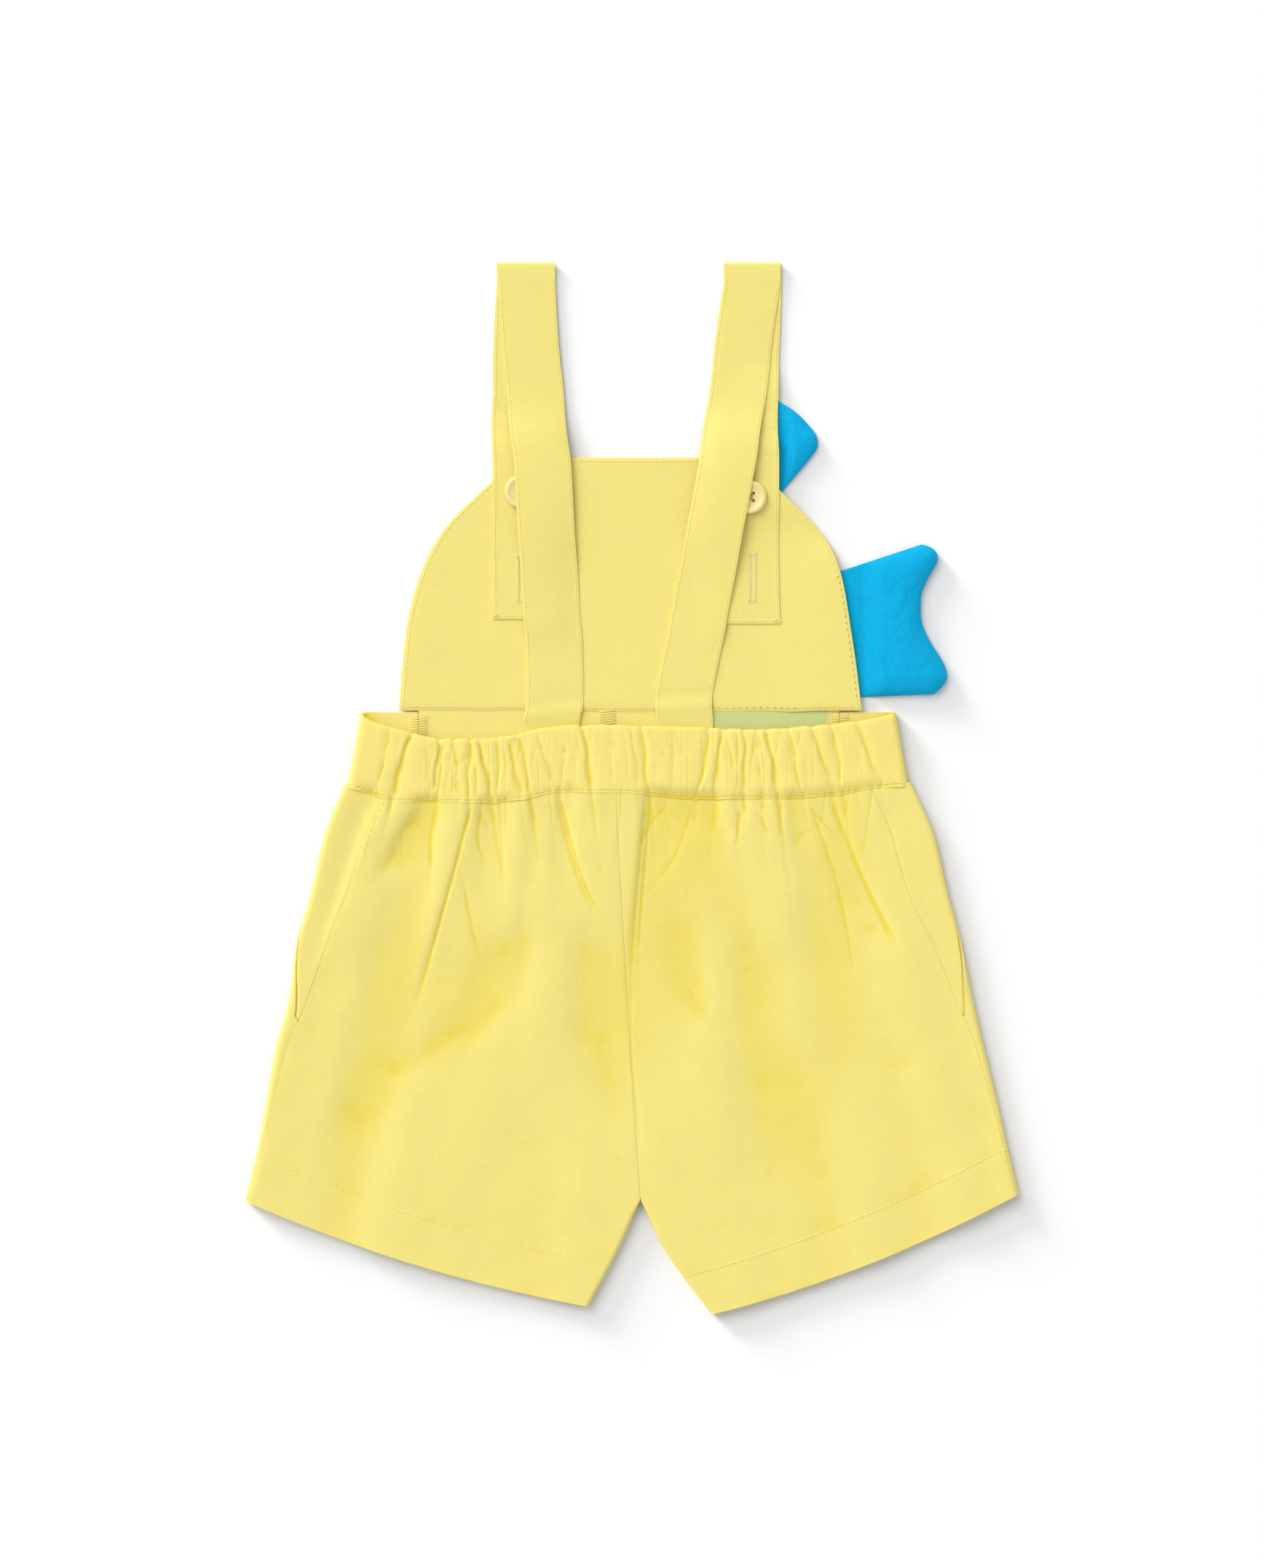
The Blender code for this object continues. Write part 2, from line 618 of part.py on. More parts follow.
def band_point(girth, down):
    """A point on the band's outside.

    Girth runs from -3, under the left side, over the back to 3, under the right side. The top is -1 to 1,
    each side fold is the next unit and what turns under is the last, so every row keeps the same columns.
    """
    radius = BAND_FOLD_RADIUS
    quarter = radius * math.pi / 2
    left = BAND_SIDE_LEFT.x + (BAND_SIDE_LEFT.y - BAND_SIDE_LEFT.x) * down
    right = BAND_SIDE_RIGHT.x + (BAND_SIDE_RIGHT.y - BAND_SIDE_RIGHT.x) * down
    middle = (left + right) / 2
    half = (right - left) / 2
    side = np.sign(girth)
    part = np.abs(girth)
    turn_end = np.where(side < 0, middle - BAND_TURN_LEFT, BAND_TURN_RIGHT - middle)
    top = np.clip(part, 0, 1) * (half - radius)
    angle = math.pi / 2 - math.pi * np.clip(part - 1, 0, 1)
    under = (half - radius - turn_end) * np.clip(part - 2, 0, 1)
    away = top + radius * np.cos(angle) * (part > 1) - under
    x = middle + side * away
    on_top = part <= 1
    settle = smooth_step((half - radius - away) / (2 * quarter))
    raised = 2 * radius + (band_height(x, down) - 2 * radius) * settle
    z = np.where(on_top, raised, radius * (1 + np.sin(angle)))
    under_top = smooth_step(part - 1)
    top_edge = read(BAND_TOP_EDGE, "x", "y", x) * (1 - under_top) + FRONT_BAND_TOP * under_top
    back_edge = read(WAIST_EDGE, "x", "y", x)
    lower_edge = back_edge + (read(FRONT_WAIST_EDGE, "x", "y", x) - back_edge) * under_top
    return x, top_edge + (lower_edge - top_edge) * down, z


def build_bands(collection, finish):
    """The gathered back band, which turns under at the sides, and the flat front band between its ends."""
    top_columns = round((BAND_SIDE_RIGHT.x - BAND_SIDE_LEFT.x) / BAND_COLUMN_STEP)
    top = np.linspace(-1, 1, top_columns + 1)
    fold = np.linspace(1, 2, BAND_FOLD_COLUMNS + 1)[1:]
    turned = np.concatenate([fold, BAND_UNDER])
    girths = np.concatenate([-turned[::-1], top, turned])
    points = np.array([np.stack(band_point(girths, down), axis=-1) for down in BAND_DOWNS])
    cloth("waistband_back", points, BAND_WALL, collection, finish)

    left = BAND_TURN_LEFT + SEAM_GAP
    right = BAND_TURN_RIGHT - SEAM_GAP
    xs = np.linspace(left, right, FRONT_BAND_COLUMNS + 1)
    upper = np.full_like(xs, FRONT_BAND_TOP)
    lower = read(FRONT_WAIST_EDGE, "x", "y", xs)
    points = np.array([np.stack((xs, ys, np.zeros_like(xs)), axis=-1) for ys in (upper, lower)])
    cloth("waistband_front", points, FRONT_BAND_WALL, collection, finish)


def bib_points(height):
    """The bib's outline filled with a grid, its face at a height above the floor or the fins' roots."""
    even = np.linspace(0, 1, BIB_COLUMNS + 1)
    drawn = (1 - np.cos(math.pi * even)) / 2
    across = even + (drawn - even) * BIB_SIDE_SHARE
    lines = []
    for y in BIB_LEVELS:
        left = read(BIB_ROWS, "y", "left", y)
        right = read(BIB_ROWS, "y", "right", y)
        xs = left + (right - left) * across
        ys = np.full_like(xs, y)
        lines.append(np.stack((xs, ys, height + fin_lift(xs, ys)), axis=-1))
    return np.array(lines)


def build_bib(collection, finish):
    """The bib's outer panel under its lining."""
    outer = bib_points(0.0)
    cloth("bib_outer", outer[:, ::-1], CLOTH, collection, finish)
    lining = bib_points(CLOTH + SEAM_GAP)
    cloth("bib_lining", lining[:, ::-1], CLOTH, collection, finish)


def along_run(run, step):
    """Middle line of one run of a strap, at even steps from its first station to its last."""
    first = run[0].y
    last = run[-1].y
    ys = np.linspace(first, last, round(abs(last - first) / step) + 1)
    return np.stack((read(run, "y", "x", ys), ys, read(run, "y", "z", ys) + STRAP_WALL / 2), axis=-1)


def strap_middle(upper, lower):
    """The strap's whole middle line: the upper run, the fold at the top and the lower run."""
    radius = (STRAP_WALL + STRAP_RUN_GAP) / 2
    angles = np.linspace(math.pi / 2, -math.pi / 2, STRAP_FOLD_STEPS + 1)
    x = np.linspace(upper[-1].x, lower[0].x, len(angles))
    y = STRAP_FOLD_Y + radius * np.cos(angles)
    fold = np.stack((x, y, STRAP_WALL / 2 + radius * (1 + np.sin(angles))), axis=-1)
    return np.concatenate([along_run(upper, STRAP_STEP), fold, along_run(lower, STRAP_STEP)])


def slot_cutter(name, place, collection, finish):
    """A box that cuts the buttonhole through which the button's thread goes down to the bib."""
    form = bmesh.new()
    bmesh.ops.create_cube(form, size=1)
    bmesh.ops.scale(form, vec=(SLOT_WIDTH, SLOT_LENGTH, SLOT_CUT_HEIGHT), verts=form.verts)
    lift = float(fin_lift(np.float64(place.x), np.float64(place.y)))
    middle = LINING_TOP + SEAM_GAP + STRAP_WALL / 2 + lift
    bmesh.ops.translate(form, vec=(place.x, place.y, middle), verts=form.verts)
    return helper(name, form, collection, finish)


def build_strap(side, upper, lower, button, collection, cutters, finish):
    """One folded strap, riding over the fins' roots, with the buttonhole that is in use."""
    middle = strap_middle(upper, lower)
    across = np.linspace(-0.5, 0.5, STRAP_COLUMNS + 1)
    points = np.repeat(middle[:, None, :], len(across), axis=1)
    points[:, :, 0] += across * STRAP_WIDTH
    points[:, :, 2] += fin_lift(points[:, :, 0], points[:, :, 1])
    strap = cloth(f"strap_{side}", points[:, ::-1], STRAP_WALL, collection, finish, offset=0)
    cut = strap.modifiers.new("buttonhole", "BOOLEAN")
    cut.operation = "DIFFERENCE"
    cut.solver = "EXACT"
    cut.object = slot_cutter(f"buttonhole_cutter_{side}", button, cutters, finish)


def build_button(side, place, collection, cutters, finish):
    """A four-hole button with the thread shank that stands on the bib's lining."""
    # The disc clears the highest cloth under it, and its shank reaches down to the lining.
    lift = float(fin_lift(np.float64(place.x + BUTTON_RADIUS), np.float64(place.y)))
    foot_lift = float(fin_lift(np.float64(place.x + SHANK_WIDTH / 2), np.float64(place.y)))
    form = bmesh.new()
    verts = [form.verts.new((point.r, 0, point.z)) for point in BUTTON_PROFILE]
    edges = [form.edges.new(pair) for pair in zip(verts, verts[1:])]
    bmesh.ops.spin(
        form,
        geom=verts + edges,
        cent=(0, 0, 0),
        axis=(0, 0, 1),
        angle=2 * math.pi,
        steps=BUTTON_STEPS,
        use_duplicate=False,
    )
    bmesh.ops.remove_doubles(form, verts=form.verts, dist=MERGE)
    bmesh.ops.recalc_face_normals(form, faces=form.faces)
    bmesh.ops.translate(form, vec=(place.x, place.y, BUTTON_LIFT + lift), verts=form.verts)
    button = new_object(f"button_{side}", form, collection, finish)
    for index in range(BUTTON_HOLES):
        angle = (index + 0.5) * 2 * math.pi / BUTTON_HOLES
        form = bmesh.new()
        bmesh.ops.create_cone(
            form,
            cap_ends=True,
            segments=BUTTON_HOLE_SIDES,
            radius1=BUTTON_HOLE_RADIUS,
            radius2=BUTTON_HOLE_RADIUS,
            depth=3 * BUTTON_THICKNESS,
        )
        reach = BUTTON_HOLE_OFFSET * math.sqrt(2)
        hole = (place.x + reach * math.cos(angle), place.y + reach * math.sin(angle), BUTTON_LIFT + lift)
        bmesh.ops.translate(form, vec=hole, verts=form.verts)
        cutter = helper(f"button_hole_{side}_{index + 1}", form, cutters, finish)
        cut = button.modifiers.new(f"hole {index + 1}", "BOOLEAN")
        cut.operation = "DIFFERENCE"
        cut.object = cutter
    form = bmesh.new()
    bmesh.ops.create_cube(form, size=1)
    foot = LINING_TOP + SEAM_GAP + foot_lift
    head = BUTTON_LIFT + BUTTON_THICKNESS / 4 + lift
    bmesh.ops.scale(form, vec=(SHANK_WIDTH, SHANK_LENGTH, head - foot), verts=form.verts)
    bmesh.ops.translate(form, vec=(place.x, place.y, (head + foot) / 2), verts=form.verts)
    shank = helper(f"button_shank_{side}", form, cutters, finish)
    join = button.modifiers.new("shank", "BOOLEAN")
    join.operation = "UNION"
    join.object = shank


def build_fin(fin, collection, finish):
    """A padded fin: a flat sheet of its outline, drawn up into a body and domed between its edges."""
    outs = np.linspace(0, 1, fin.outs + 1)
    alongs = np.linspace(0, 1, fin.alongs + 1)[:, None]
    points = np.zeros((fin.alongs + 1, fin.outs + 1, 3))
    for index, name in enumerate("xy"):
        start = read(fin.root, "along", name, alongs)
        points[:, :, index] = start + (read(fin.edge, "along", name, alongs) - start) * outs
    form = grid_form(points)
    bmesh.ops.reverse_faces(form, faces=form.faces)
    body = bmesh.ops.extrude_face_region(form, geom=form.faces[:])
    raised = {vert for vert in body["geom"] if isinstance(vert, bmesh.types.BMVert)}
    for vert in raised:
        # How far the point is from the free edge and the two sides decides how full the padding is there.
        near = min(math.hypot(vert.co.x - x, vert.co.y - y) for x, y in fin_rim(points))
        dome = FIN_RIM + (fin.thickness - FIN_RIM) * math.sqrt(min(near / FIN_DOME_REACH, 1))
        past_root = float(smooth_step((vert.co.x - fin.swell_x) / fin.swell_run))
        vert.co.z = FIN_ROOT_THICKNESS + (dome - FIN_ROOT_THICKNESS) * past_root
    new_object(fin.name, form, collection, finish)


def fin_rim(points):
    """The free outline of a fin as plan points: both sides and the outer edge."""
    return np.concatenate([points[0, :, :2], points[-1, :, :2], points[:, -1, :2]]).tolist()


def main():
    for existing in list(bpy.data.objects):
        bpy.data.objects.remove(existing, do_unlink=True)
    scene = bpy.context.scene
    parts = bpy.data.collections.new("dungaree_shorts_romper")
    cutters = bpy.data.collections.new("cutters")
    cutters.hide_render = True
    scene.collection.children.link(parts)
    scene.collection.children.link(cutters)

    yellow = material("yellow_poplin", YELLOW, 0.85)
    button_finish = material("button_resin", PALE_YELLOW, 0.3)
    blue = material("blue_rib_knit", BLUE, 0.8)

    build_leg("left", LEFT_ROWS, parts, yellow)
    build_leg("right", RIGHT_ROWS, parts, yellow)
    build_bands(parts, yellow)
    build_bib(parts, yellow)
    runs = {"left": (LEFT_UPPER_RUN, LEFT_LOWER_RUN), "right": (RIGHT_UPPER_RUN, RIGHT_LOWER_RUN)}
    for side, place in BUTTONS:
        build_strap(side, *runs[side], place, parts, cutters, yellow)
        build_button(side, place, parts, cutters, button_finish)
    for fin in FINS:
        build_fin(fin, parts, blue)


main()
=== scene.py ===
"""A baby's dungaree shorts romper, laid flat with its back up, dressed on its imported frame.

X runs across the back to the right, Y from the hems up to the straps and Z up. Sizes in the tables are
millimetres, and MM turns them into metres where a mesh is made.
"""

import math
from collections import namedtuple
from functools import lru_cache

import bmesh
import bpy
import numpy as np
from bpy.props import FloatProperty, FloatVectorProperty, PointerProperty
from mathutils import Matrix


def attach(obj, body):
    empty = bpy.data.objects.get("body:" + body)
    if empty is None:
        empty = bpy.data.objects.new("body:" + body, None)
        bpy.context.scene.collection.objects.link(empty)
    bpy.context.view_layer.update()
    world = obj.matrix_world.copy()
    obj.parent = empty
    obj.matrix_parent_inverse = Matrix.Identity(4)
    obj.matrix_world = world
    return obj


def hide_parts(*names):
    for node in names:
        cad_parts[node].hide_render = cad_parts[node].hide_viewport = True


bl_info = {
    "name": "Dungaree Shorts Romper",
    "version": (1, 0, 0),
    "blender": (4, 5, 0),
    "location": "View3D > Sidebar > Romper",
    "description": "Dresses a flat-laid dungaree romper: cloth, gathers, buttons, fins and stitching",
    "category": "Object",
}

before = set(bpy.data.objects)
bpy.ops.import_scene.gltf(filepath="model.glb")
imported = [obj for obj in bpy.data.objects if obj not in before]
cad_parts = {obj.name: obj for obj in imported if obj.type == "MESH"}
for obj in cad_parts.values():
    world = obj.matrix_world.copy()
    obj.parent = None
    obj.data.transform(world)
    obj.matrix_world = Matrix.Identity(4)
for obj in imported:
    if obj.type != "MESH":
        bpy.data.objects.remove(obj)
BODY = "root"

MM = 0.001
# From the tables' X to the frame's, and the gap between pieces that meet at a seam
CENTRE_SHIFT = 0.4
SEAM_GAP = 0.3
# The legs: the radius of the side fold, the curl of the inseam, the bow and the depth of the hem
SIDE_FOLD_RADIUS = 2.4
BAND_FOLD_RADIUS = 2.8
INSEAM_CURL = 2.2
CURL_RUN = 0.04
HEM_BOW = 5.0
HEM_DEPTH = 20.8
WAIST_BLEND = 0.25
SIDE_SETTLE = 14.0
# The back's mean height, how far its relief swings about it, the share of a fold that is left at the
# waistband's stitches, and the fullness just below them
BACK_HEIGHT = 4.2
BACK_SWING = 1.75
PINNED_SHARE = 0.4
PINNED_RUN = 10.0
WAIST_PUFF = 0.35
WAIST_PUFF_RUN = 9.0
WAIST_DROP = 0.9
# Walls of the solids, the straps' width and how far edge-stitching runs from an edge; the band's stitching
# is a share of the way down it
CLOTH = 1.0
STRAP_WALL = 1.2
STRAP_WIDTH = 25.0
STRAP_STITCH_INSET = 1.2
BIB_STITCH_INSET = 1.7
BAND_STITCH = 0.94


def table_of(kind, *rows):
    """A table whose rows are all of one named kind."""
    return tuple(kind(*row) for row in rows)


# The shorts, one row for each level from the waist (0) to the hem (1): the side fold, and how far the side
# seam lies in from that fold on the back
CROTCH = 0.79
Row = namedtuple("Row", "level side_x side_y seam_in")
LEFT_ROWS = table_of(
    Row,
    (0.000, -126.5, 0.6, 17.0), (0.125, -136.0, -23.0, 17.5), (0.250, -141.5, -45.5, 15.5),
    (0.375, -148.0, -68.0, 13.0), (0.500, -151.0, -91.0, 8.0), (0.625, -157.0, -113.5, 5.0),
    (0.790, -162.3, -143.0, 3.0), (0.880, -165.2, -159.0, 1.5), (1.000, -170.6, -181.0, 0.7),
)
RIGHT_ROWS = table_of(
    Row,
    (0.000, 122.4, 0.6, 18.0), (0.125, 133.0, -22.5, 18.5), (0.250, 138.6, -45.0, 17.0),
    (0.375, 144.5, -67.0, 12.0), (0.500, 149.0, -89.0, 8.0), (0.625, 154.0, -111.0, 3.5),
    (0.790, 161.0, -140.0, 2.2), (0.880, 164.6, -156.0, 1.4), (1.000, 169.8, -178.0, 0.7),
)
# The seam up the middle, from the waist to the crotch, and then the inseam of each leg
EdgePoint = namedtuple("EdgePoint", "x y")
CENTRE_SEAM = table_of(EdgePoint, (-7.4, -1.8), (-5.6, -37), (-1.5, -105), (3.4, -180.5))
InseamPoint = namedtuple("InseamPoint", "level x y")
INSEAMS = {
    "left": table_of(InseamPoint, (CROTCH, 3.4, -180.5), (0.88, -5.0, -200), (1, -19.5, -227.5)),
    "right": table_of(InseamPoint, (CROTCH, 3.4, -180.5), (0.88, 13.0, -201), (1, 34.5, -231)),
}

# The slant pocket's mouth, as the girth from the middle of the side fold: negative on the front.
Mouth = namedtuple("Mouth", "level girth")
POCKET_MOUTH = table_of(Mouth, (0, -37.5), (0.335, 0), (0.44, 2.5), (0.55, 5.8))

# Lower edge of the gathered waistband, where the back of the shorts begins
WAIST_EDGE = table_of(
    EdgePoint,
    (-126, 1.1), (-113.5, -2.7), (-102.5, -5.9), (-62.5, -5.9), (-41, -3.0), (-32, -1.4), (-3, -1.8),
    (28, -4.4), (65, -4.3), (92, -2.4), (105, 0.2), (121, 1.2),
)
FRONT_WAIST_EDGE = table_of(EdgePoint, (-126, 1.1), (-95, -1.5), (91, -1.5), (121, 1.2))
BAND_TOP_EDGE = table_of(
    EdgePoint,
    (-120, 33.1), (-113, 29.6), (-99.5, 25.8), (-85, 22.6), (-69, 22.6), (-55, 23.8), (-37, 27.7),
    (-22, 28.6), (26, 27.7), (52, 26.7), (88, 29.0), (109, 32.2), (115.5, 33.8),
)
FRONT_BAND_TOP = 34.0
BAND_TURN_LEFT = -94.7
BAND_TURN_RIGHT = 91.2
BAND_SIDE_LEFT = EdgePoint(-119.7, -125.6)
BAND_SIDE_RIGHT = EdgePoint(115.7, 121.3)

# Folds in the back of the shorts: the line of each from its upper end to its lower one, its height (a
# trough is negative) and how far it spreads to the left and to the right. A pinned one starts at the band.
Fold = namedtuple("Fold", "x0 y0 x1 y1 x2 y2 height left right pinned")
FOLDS = table_of(
    Fold,
    (-109, -7, -123, -42, -142, -92, 1.1, 4, 14, 1), (-92, -8, -103, -26, -114, -47, -1.1, 5, 8, 1),
    (-86, -8, -89, -22, -88, -42, -0.5, 2, 5, 1), (-75, -8, -86, -49, -105, -112, 1.5, 13, 2.8, 1),
    (-71, -8, -81, -45, -99, -110, -0.8, 2.6, 12, 1), (-66, -6, -68, -21, -64, -38, -0.7, 2.5, 6, 1),
    (-79, -36, -75.5, -57, -69, -82, 0.7, 6, 3, 0), (-45, -50, -70, -100, -112, -132, -1.0, 8, 13, 0),
    (19, -48, 25, -85, 44, -122, -0.8, 7, 9, 0), (-33.5, -5, -25.5, -35, -13, -64, -1.0, 12, 2.2, 1),
    (-29, -4, -20.5, -35, -4, -70, 1.5, 2.2, 10, 1), (-16, -50, -15, -105, -3, -165, -0.9, 12, 8, 0),
    (3, -3, -1.5, -50, -4.7, -98, 2.4, 6, 2.2, 1), (8, -3, 4, -50, 1, -95, -1.2, 1.8, 9, 1),
    (-4, -60, -4.2, -100, 2, -178, 0.4, 6, 2.8, 0), (19.5, -5, 11.5, -15, 5, -27, 0.7, 2, 5, 1),
    (31, -5, 23, -28, 3, -54, 0.9, 2.6, 9, 1), (50.5, -5, 50, -15, 48, -31, 0.7, 2.6, 6, 1),
    (52, -7, 60, -13, 65, -24, 0.6, 2.2, 4, 1), (55, -8, 63, -40, 67, -80, 1.0, 10, 14, 1),
    (74, -6, 87, -46, 96, -98, 0.9, 8, 3, 1), (80, -6, 89, -16, 100, -28, 0.6, 2.2, 4, 1),
    (87, -6, 101, -40, 127, -94, -1.0, 11, 2.2, 1), (91, -5, 106, -42, 138, -100, 1.5, 2.2, 11, 1),
    (107, -60, 114, -91, 121, -120, 0.5, 7, 9, 0), (60, -105, 68, -150, 64, -190, -0.5, 15, 18, 0),
    (30, -90, 34, -130, 42, -185, 0.4, 12, 14, 0), (-104, -110, -118, -140, -128, -165, -0.5, 10, 12, 0),
    (-60, -120, -66, -150, -74, -185, 0.4, 14, 12, 0),
)
# A fold that spreads less than this to one side is sharp. The heights above are scaled for each sort.
SHARP_FOLD = 4.0
SHARP_FOLDS = tuple(fold for fold in FOLDS if min(fold.left, fold.right) < SHARP_FOLD)
WIDE_FOLDS = tuple(fold for fold in FOLDS if fold not in SHARP_FOLDS)
SHARP_SCALE = 0.33
WIDE_SCALE = 1.7
FOLD_FADE_IN = 0.3
FOLD_FADE_OUT = 0.5
# The thin crease at a sharp fold's foot
FOOT_DEPTH = 0.3
FOOT_WIDTH = 0.8
FOOT_PLACE = 1.3
# How deep a broad hollow has to be to take its full share of the deeper colour, which is painted shade
VALLEY_DEPTH = 1.6
VALLEY_SHADE_SHARE = 0.5
# Pleats below the waistband, and the fan of fine creases between them
GATHER_DEPTH = 0.65
GATHER_REACH = 13.0
GATHER_WIDTH = 1.2
GATHER_LEAN = 0.8
GATHER_CREST = 0.35
FAN_DEPTH = 0.42
FAN_REACH = 16.0
FAN_SPREAD = 450.0

# Creases of the gathered waistband, from its top edge (0) to its lower edge (1)
Crease = namedtuple("Crease", "x_top x_bottom depth half_width start end")
CREASES = table_of(
    Crease,
    (-107.0, -112.3, 0.5, 1.6, 0.1, 1.0), (-97.5, -106.0, 1.2, 2.0, 0.1, 1.0),
    (-89.5, -89.5, 0.4, 1.3, 0.5, 1.0), (-85.5, -87.3, 0.8, 1.3, 0.0, 0.7),
    (-82.5, -86.1, 0.7, 1.3, 0.2, 1.0), (-78.8, -77.0, 0.5, 1.3, 0.0, 0.7),
    (-71.0, -72.2, 1.1, 1.5, 0.0, 1.0), (-67.8, -62.2, 1.2, 1.7, 0.1, 1.0),
    (-59.8, -58.4, 0.8, 1.4, 0.0, 0.9), (-54.5, -49.3, 0.8, 1.7, 0.2, 1.0),
    (-49.9, -45.0, 1.0, 1.6, 0.1, 1.0), (-43.9, -32.5, 0.4, 2.0, 0.1, 1.0),
    (-28.5, -32.0, 0.4, 1.6, 0.4, 1.0), (-22.5, -18.0, 1.1, 1.8, 0.0, 1.0),
    (-9.5, -8.5, 0.3, 2.2, 0.0, 0.7), (-0.7, 2.3, 0.4, 1.5, 0.0, 0.8), (3.5, 7.5, 1.1, 1.7, 0.0, 1.0),
    (18.0, 17.0, 0.3, 2.4, 0.1, 0.9), (34.0, 28.5, 0.9, 1.6, 0.0, 1.0), (38.7, 36.0, 0.8, 1.5, 0.0, 1.0),
    (42.0, 45.4, 0.5, 1.4, 0.0, 0.5), (48.6, 49.0, 0.8, 1.5, 0.0, 1.0), (54.5, 57.0, 0.5, 1.4, 0.0, 0.6),
    (58.6, 63.8, 1.1, 1.7, 0.1, 1.0), (68.2, 75.0, 0.8, 1.6, 0.0, 1.0), (79.0, 88.0, 0.7, 2.2, 0.0, 1.0),
    (87.2, 92.8, 0.8, 1.6, 0.0, 1.0), (98.0, 109.3, 0.7, 2.3, 0.0, 1.0),
)
CREASE_FADE = 0.15
BAND_SCALE = 0.8
BAND_FINE_DEPTH = 0.3
BAND_HEIGHT = 5.8

# The bib: both sides of its outline at each height, from the top edge to the waistband
BibRow = namedtuple("BibRow", "y left right")
BIB_ROWS = table_of(
    BibRow,
    (146.1, -53.5, 52.5), (143.5, -56.5, 55.5), (137.0, -61.0, 60.0), (129.4, -68.8, 66.9),
    (116.6, -81.5, 80.0), (103.8, -89.6, 88.4), (91.0, -94.8, 92.6), (72.0, -99.4, 95.8),
    (53.0, -101.5, 98.6), (34.4, -103.0, 100.8),
)

# Each strap's route: the middle of its upper run from inside the waistband to the fold at the top, then
# its lower run to the buttoned end. `z` is the height of the lower run's underside; the upper run's comes
# from what lies under it.
Station = namedtuple("Station", "y x z", defaults=(0,))
STRAP_FOLD_Y = 231.0
STRAP_RUN_GAP = 0.4
STRAP_SINK = 0.5
LEFT_UPPER_RUN = table_of(
    Station,
    (22, -36.2), (30, -35.8), (38, -34.3), (62, -34.9), (74, -35.4), (105, -37.4), (121, -38.6),
    (131, -39.2), (141, -39.8), (155, -41.2), (178, -43.3), (206, -45.8), (224, -46.8),
)
LEFT_LOWER_RUN = table_of(
    Station,
    (224, -47.3, 0), (206, -48.3, 0), (168, -49.3, 0), (149, -49.4, 2.6), (105, -49.3, 2.6),
    (75, -48.8, 2.6),
)
RIGHT_UPPER_RUN = table_of(
    Station,
    (22, 22.9), (30, 22.9), (38, 22.3), (60, 25.8), (72, 28.5), (102, 33.9), (118, 36.7), (128.5, 38.6),
    (139, 40.4), (155, 43.2), (178, 46.8), (199, 49.2), (224, 52.6),
)
RIGHT_LOWER_RUN = table_of(
    Station,
    (224, 53.0, 0), (206, 52.6, 0), (168, 51.5, 0), (149, 51.6, 2.6), (105, 51.6, 2.6), (73, 52.6, 2.6),
)

# Padded fins, sewn on under the bib: the root line and the free edge, from the upper end to the lower one
FinEdge = namedtuple("FinEdge", "along x y")
TAIL_ROOT = table_of(FinEdge, (0, 87, 95), (1, 90, 40))
TAIL_EDGE = table_of(
    FinEdge,
    (0.00, 127.0, 108.3), (0.06, 133.1, 106.8), (0.11, 135.4, 102.6), (0.22, 130.8, 93.9),
    (0.36, 127.4, 84.6), (0.50, 127.4, 76.3), (0.66, 130.8, 66.4), (0.82, 137.0, 56.2),
    (0.91, 139.2, 49.8), (0.97, 137.9, 45.3), (1.00, 132.5, 41.4),
)
UPPER_ROOT = table_of(FinEdge, (0, 59.5, 172.0), (1, 59.5, 129.5))
UPPER_EDGE = table_of(
    FinEdge,
    (0.00, 62.5, 172.2), (0.18, 71.7, 166.6), (0.34, 78.0, 160.2), (0.48, 81.6, 155.0),
    (0.56, 81.9, 151.5), (0.70, 78.4, 146.1), (0.86, 71.7, 138.1), (1.00, 64.5, 129.5),
)

# Where the bib and a strap ride over a fin's root: from x on to the right, between two heights
Ride = namedtuple("Ride", "x run low high margin")
RIDES = table_of(Ride, (56, 34, 38, 98, 16), (32, 28, 128, 174, 16))

# Each fin: its outline, its fullest thickness, where it swells past its flat root and its grid
Fin = namedtuple("Fin", "name root edge thickness swell_x swell_run alongs outs wale")
FINS = table_of(
    Fin,
    ("fin_upper", UPPER_ROOT, UPPER_EDGE, 3.6, 66.0, 6.0, 60, 36, -20),
    ("fin_tail", TAIL_ROOT, TAIL_EDGE, 5.0, 101.0, 10.0, 76, 66, -67),
)
FIN_ROOT_THICKNESS = 1.0
FIN_RIM = 1.2
FIN_DOME_REACH = 9.0
FIN_EASING = 10
FILL_PRESSURE = 4.0
FILL_FRAMES = 20
FILL_CAP = 1.2
FILL_FLOOR = 0.05
FILL_MASS = 0.02
FLOOR_CLEARANCE = 0.06
FIN_TURN_UP = 2.5
FIN_LIFT = FIN_ROOT_THICKNESS + SEAM_GAP

# Buttons, and the round profile of one from the middle of its face to the middle of its back
ProfilePoint = namedtuple("ProfilePoint", "r z")
BUTTONS = {"left": EdgePoint(-49.0, 131.0), "right": EdgePoint(51.4, 128.5)}
BUTTON_LIFT = 3.6
BUTTON_PROFILE = table_of(
    ProfilePoint,
    (0.0, 1.35), (3.2, 1.35), (4.4, 1.42), (5.0, 1.62), (5.5, 1.88), (6.1, 2.0), (6.6, 1.94), (7.1, 1.7),
    (7.35, 1.25), (7.3, 0.8), (6.9, 0.35), (6.0, 0.08), (4.5, 0.0), (0.0, 0.0),
)
DRILL_PROFILE = table_of(ProfilePoint, (0, 5), (0.75, 5), (0.75, -3), (0, -3))
BUTTON_STEPS = 96
HOLE_SIDES = 24
HOLE_OFFSET = 1.55
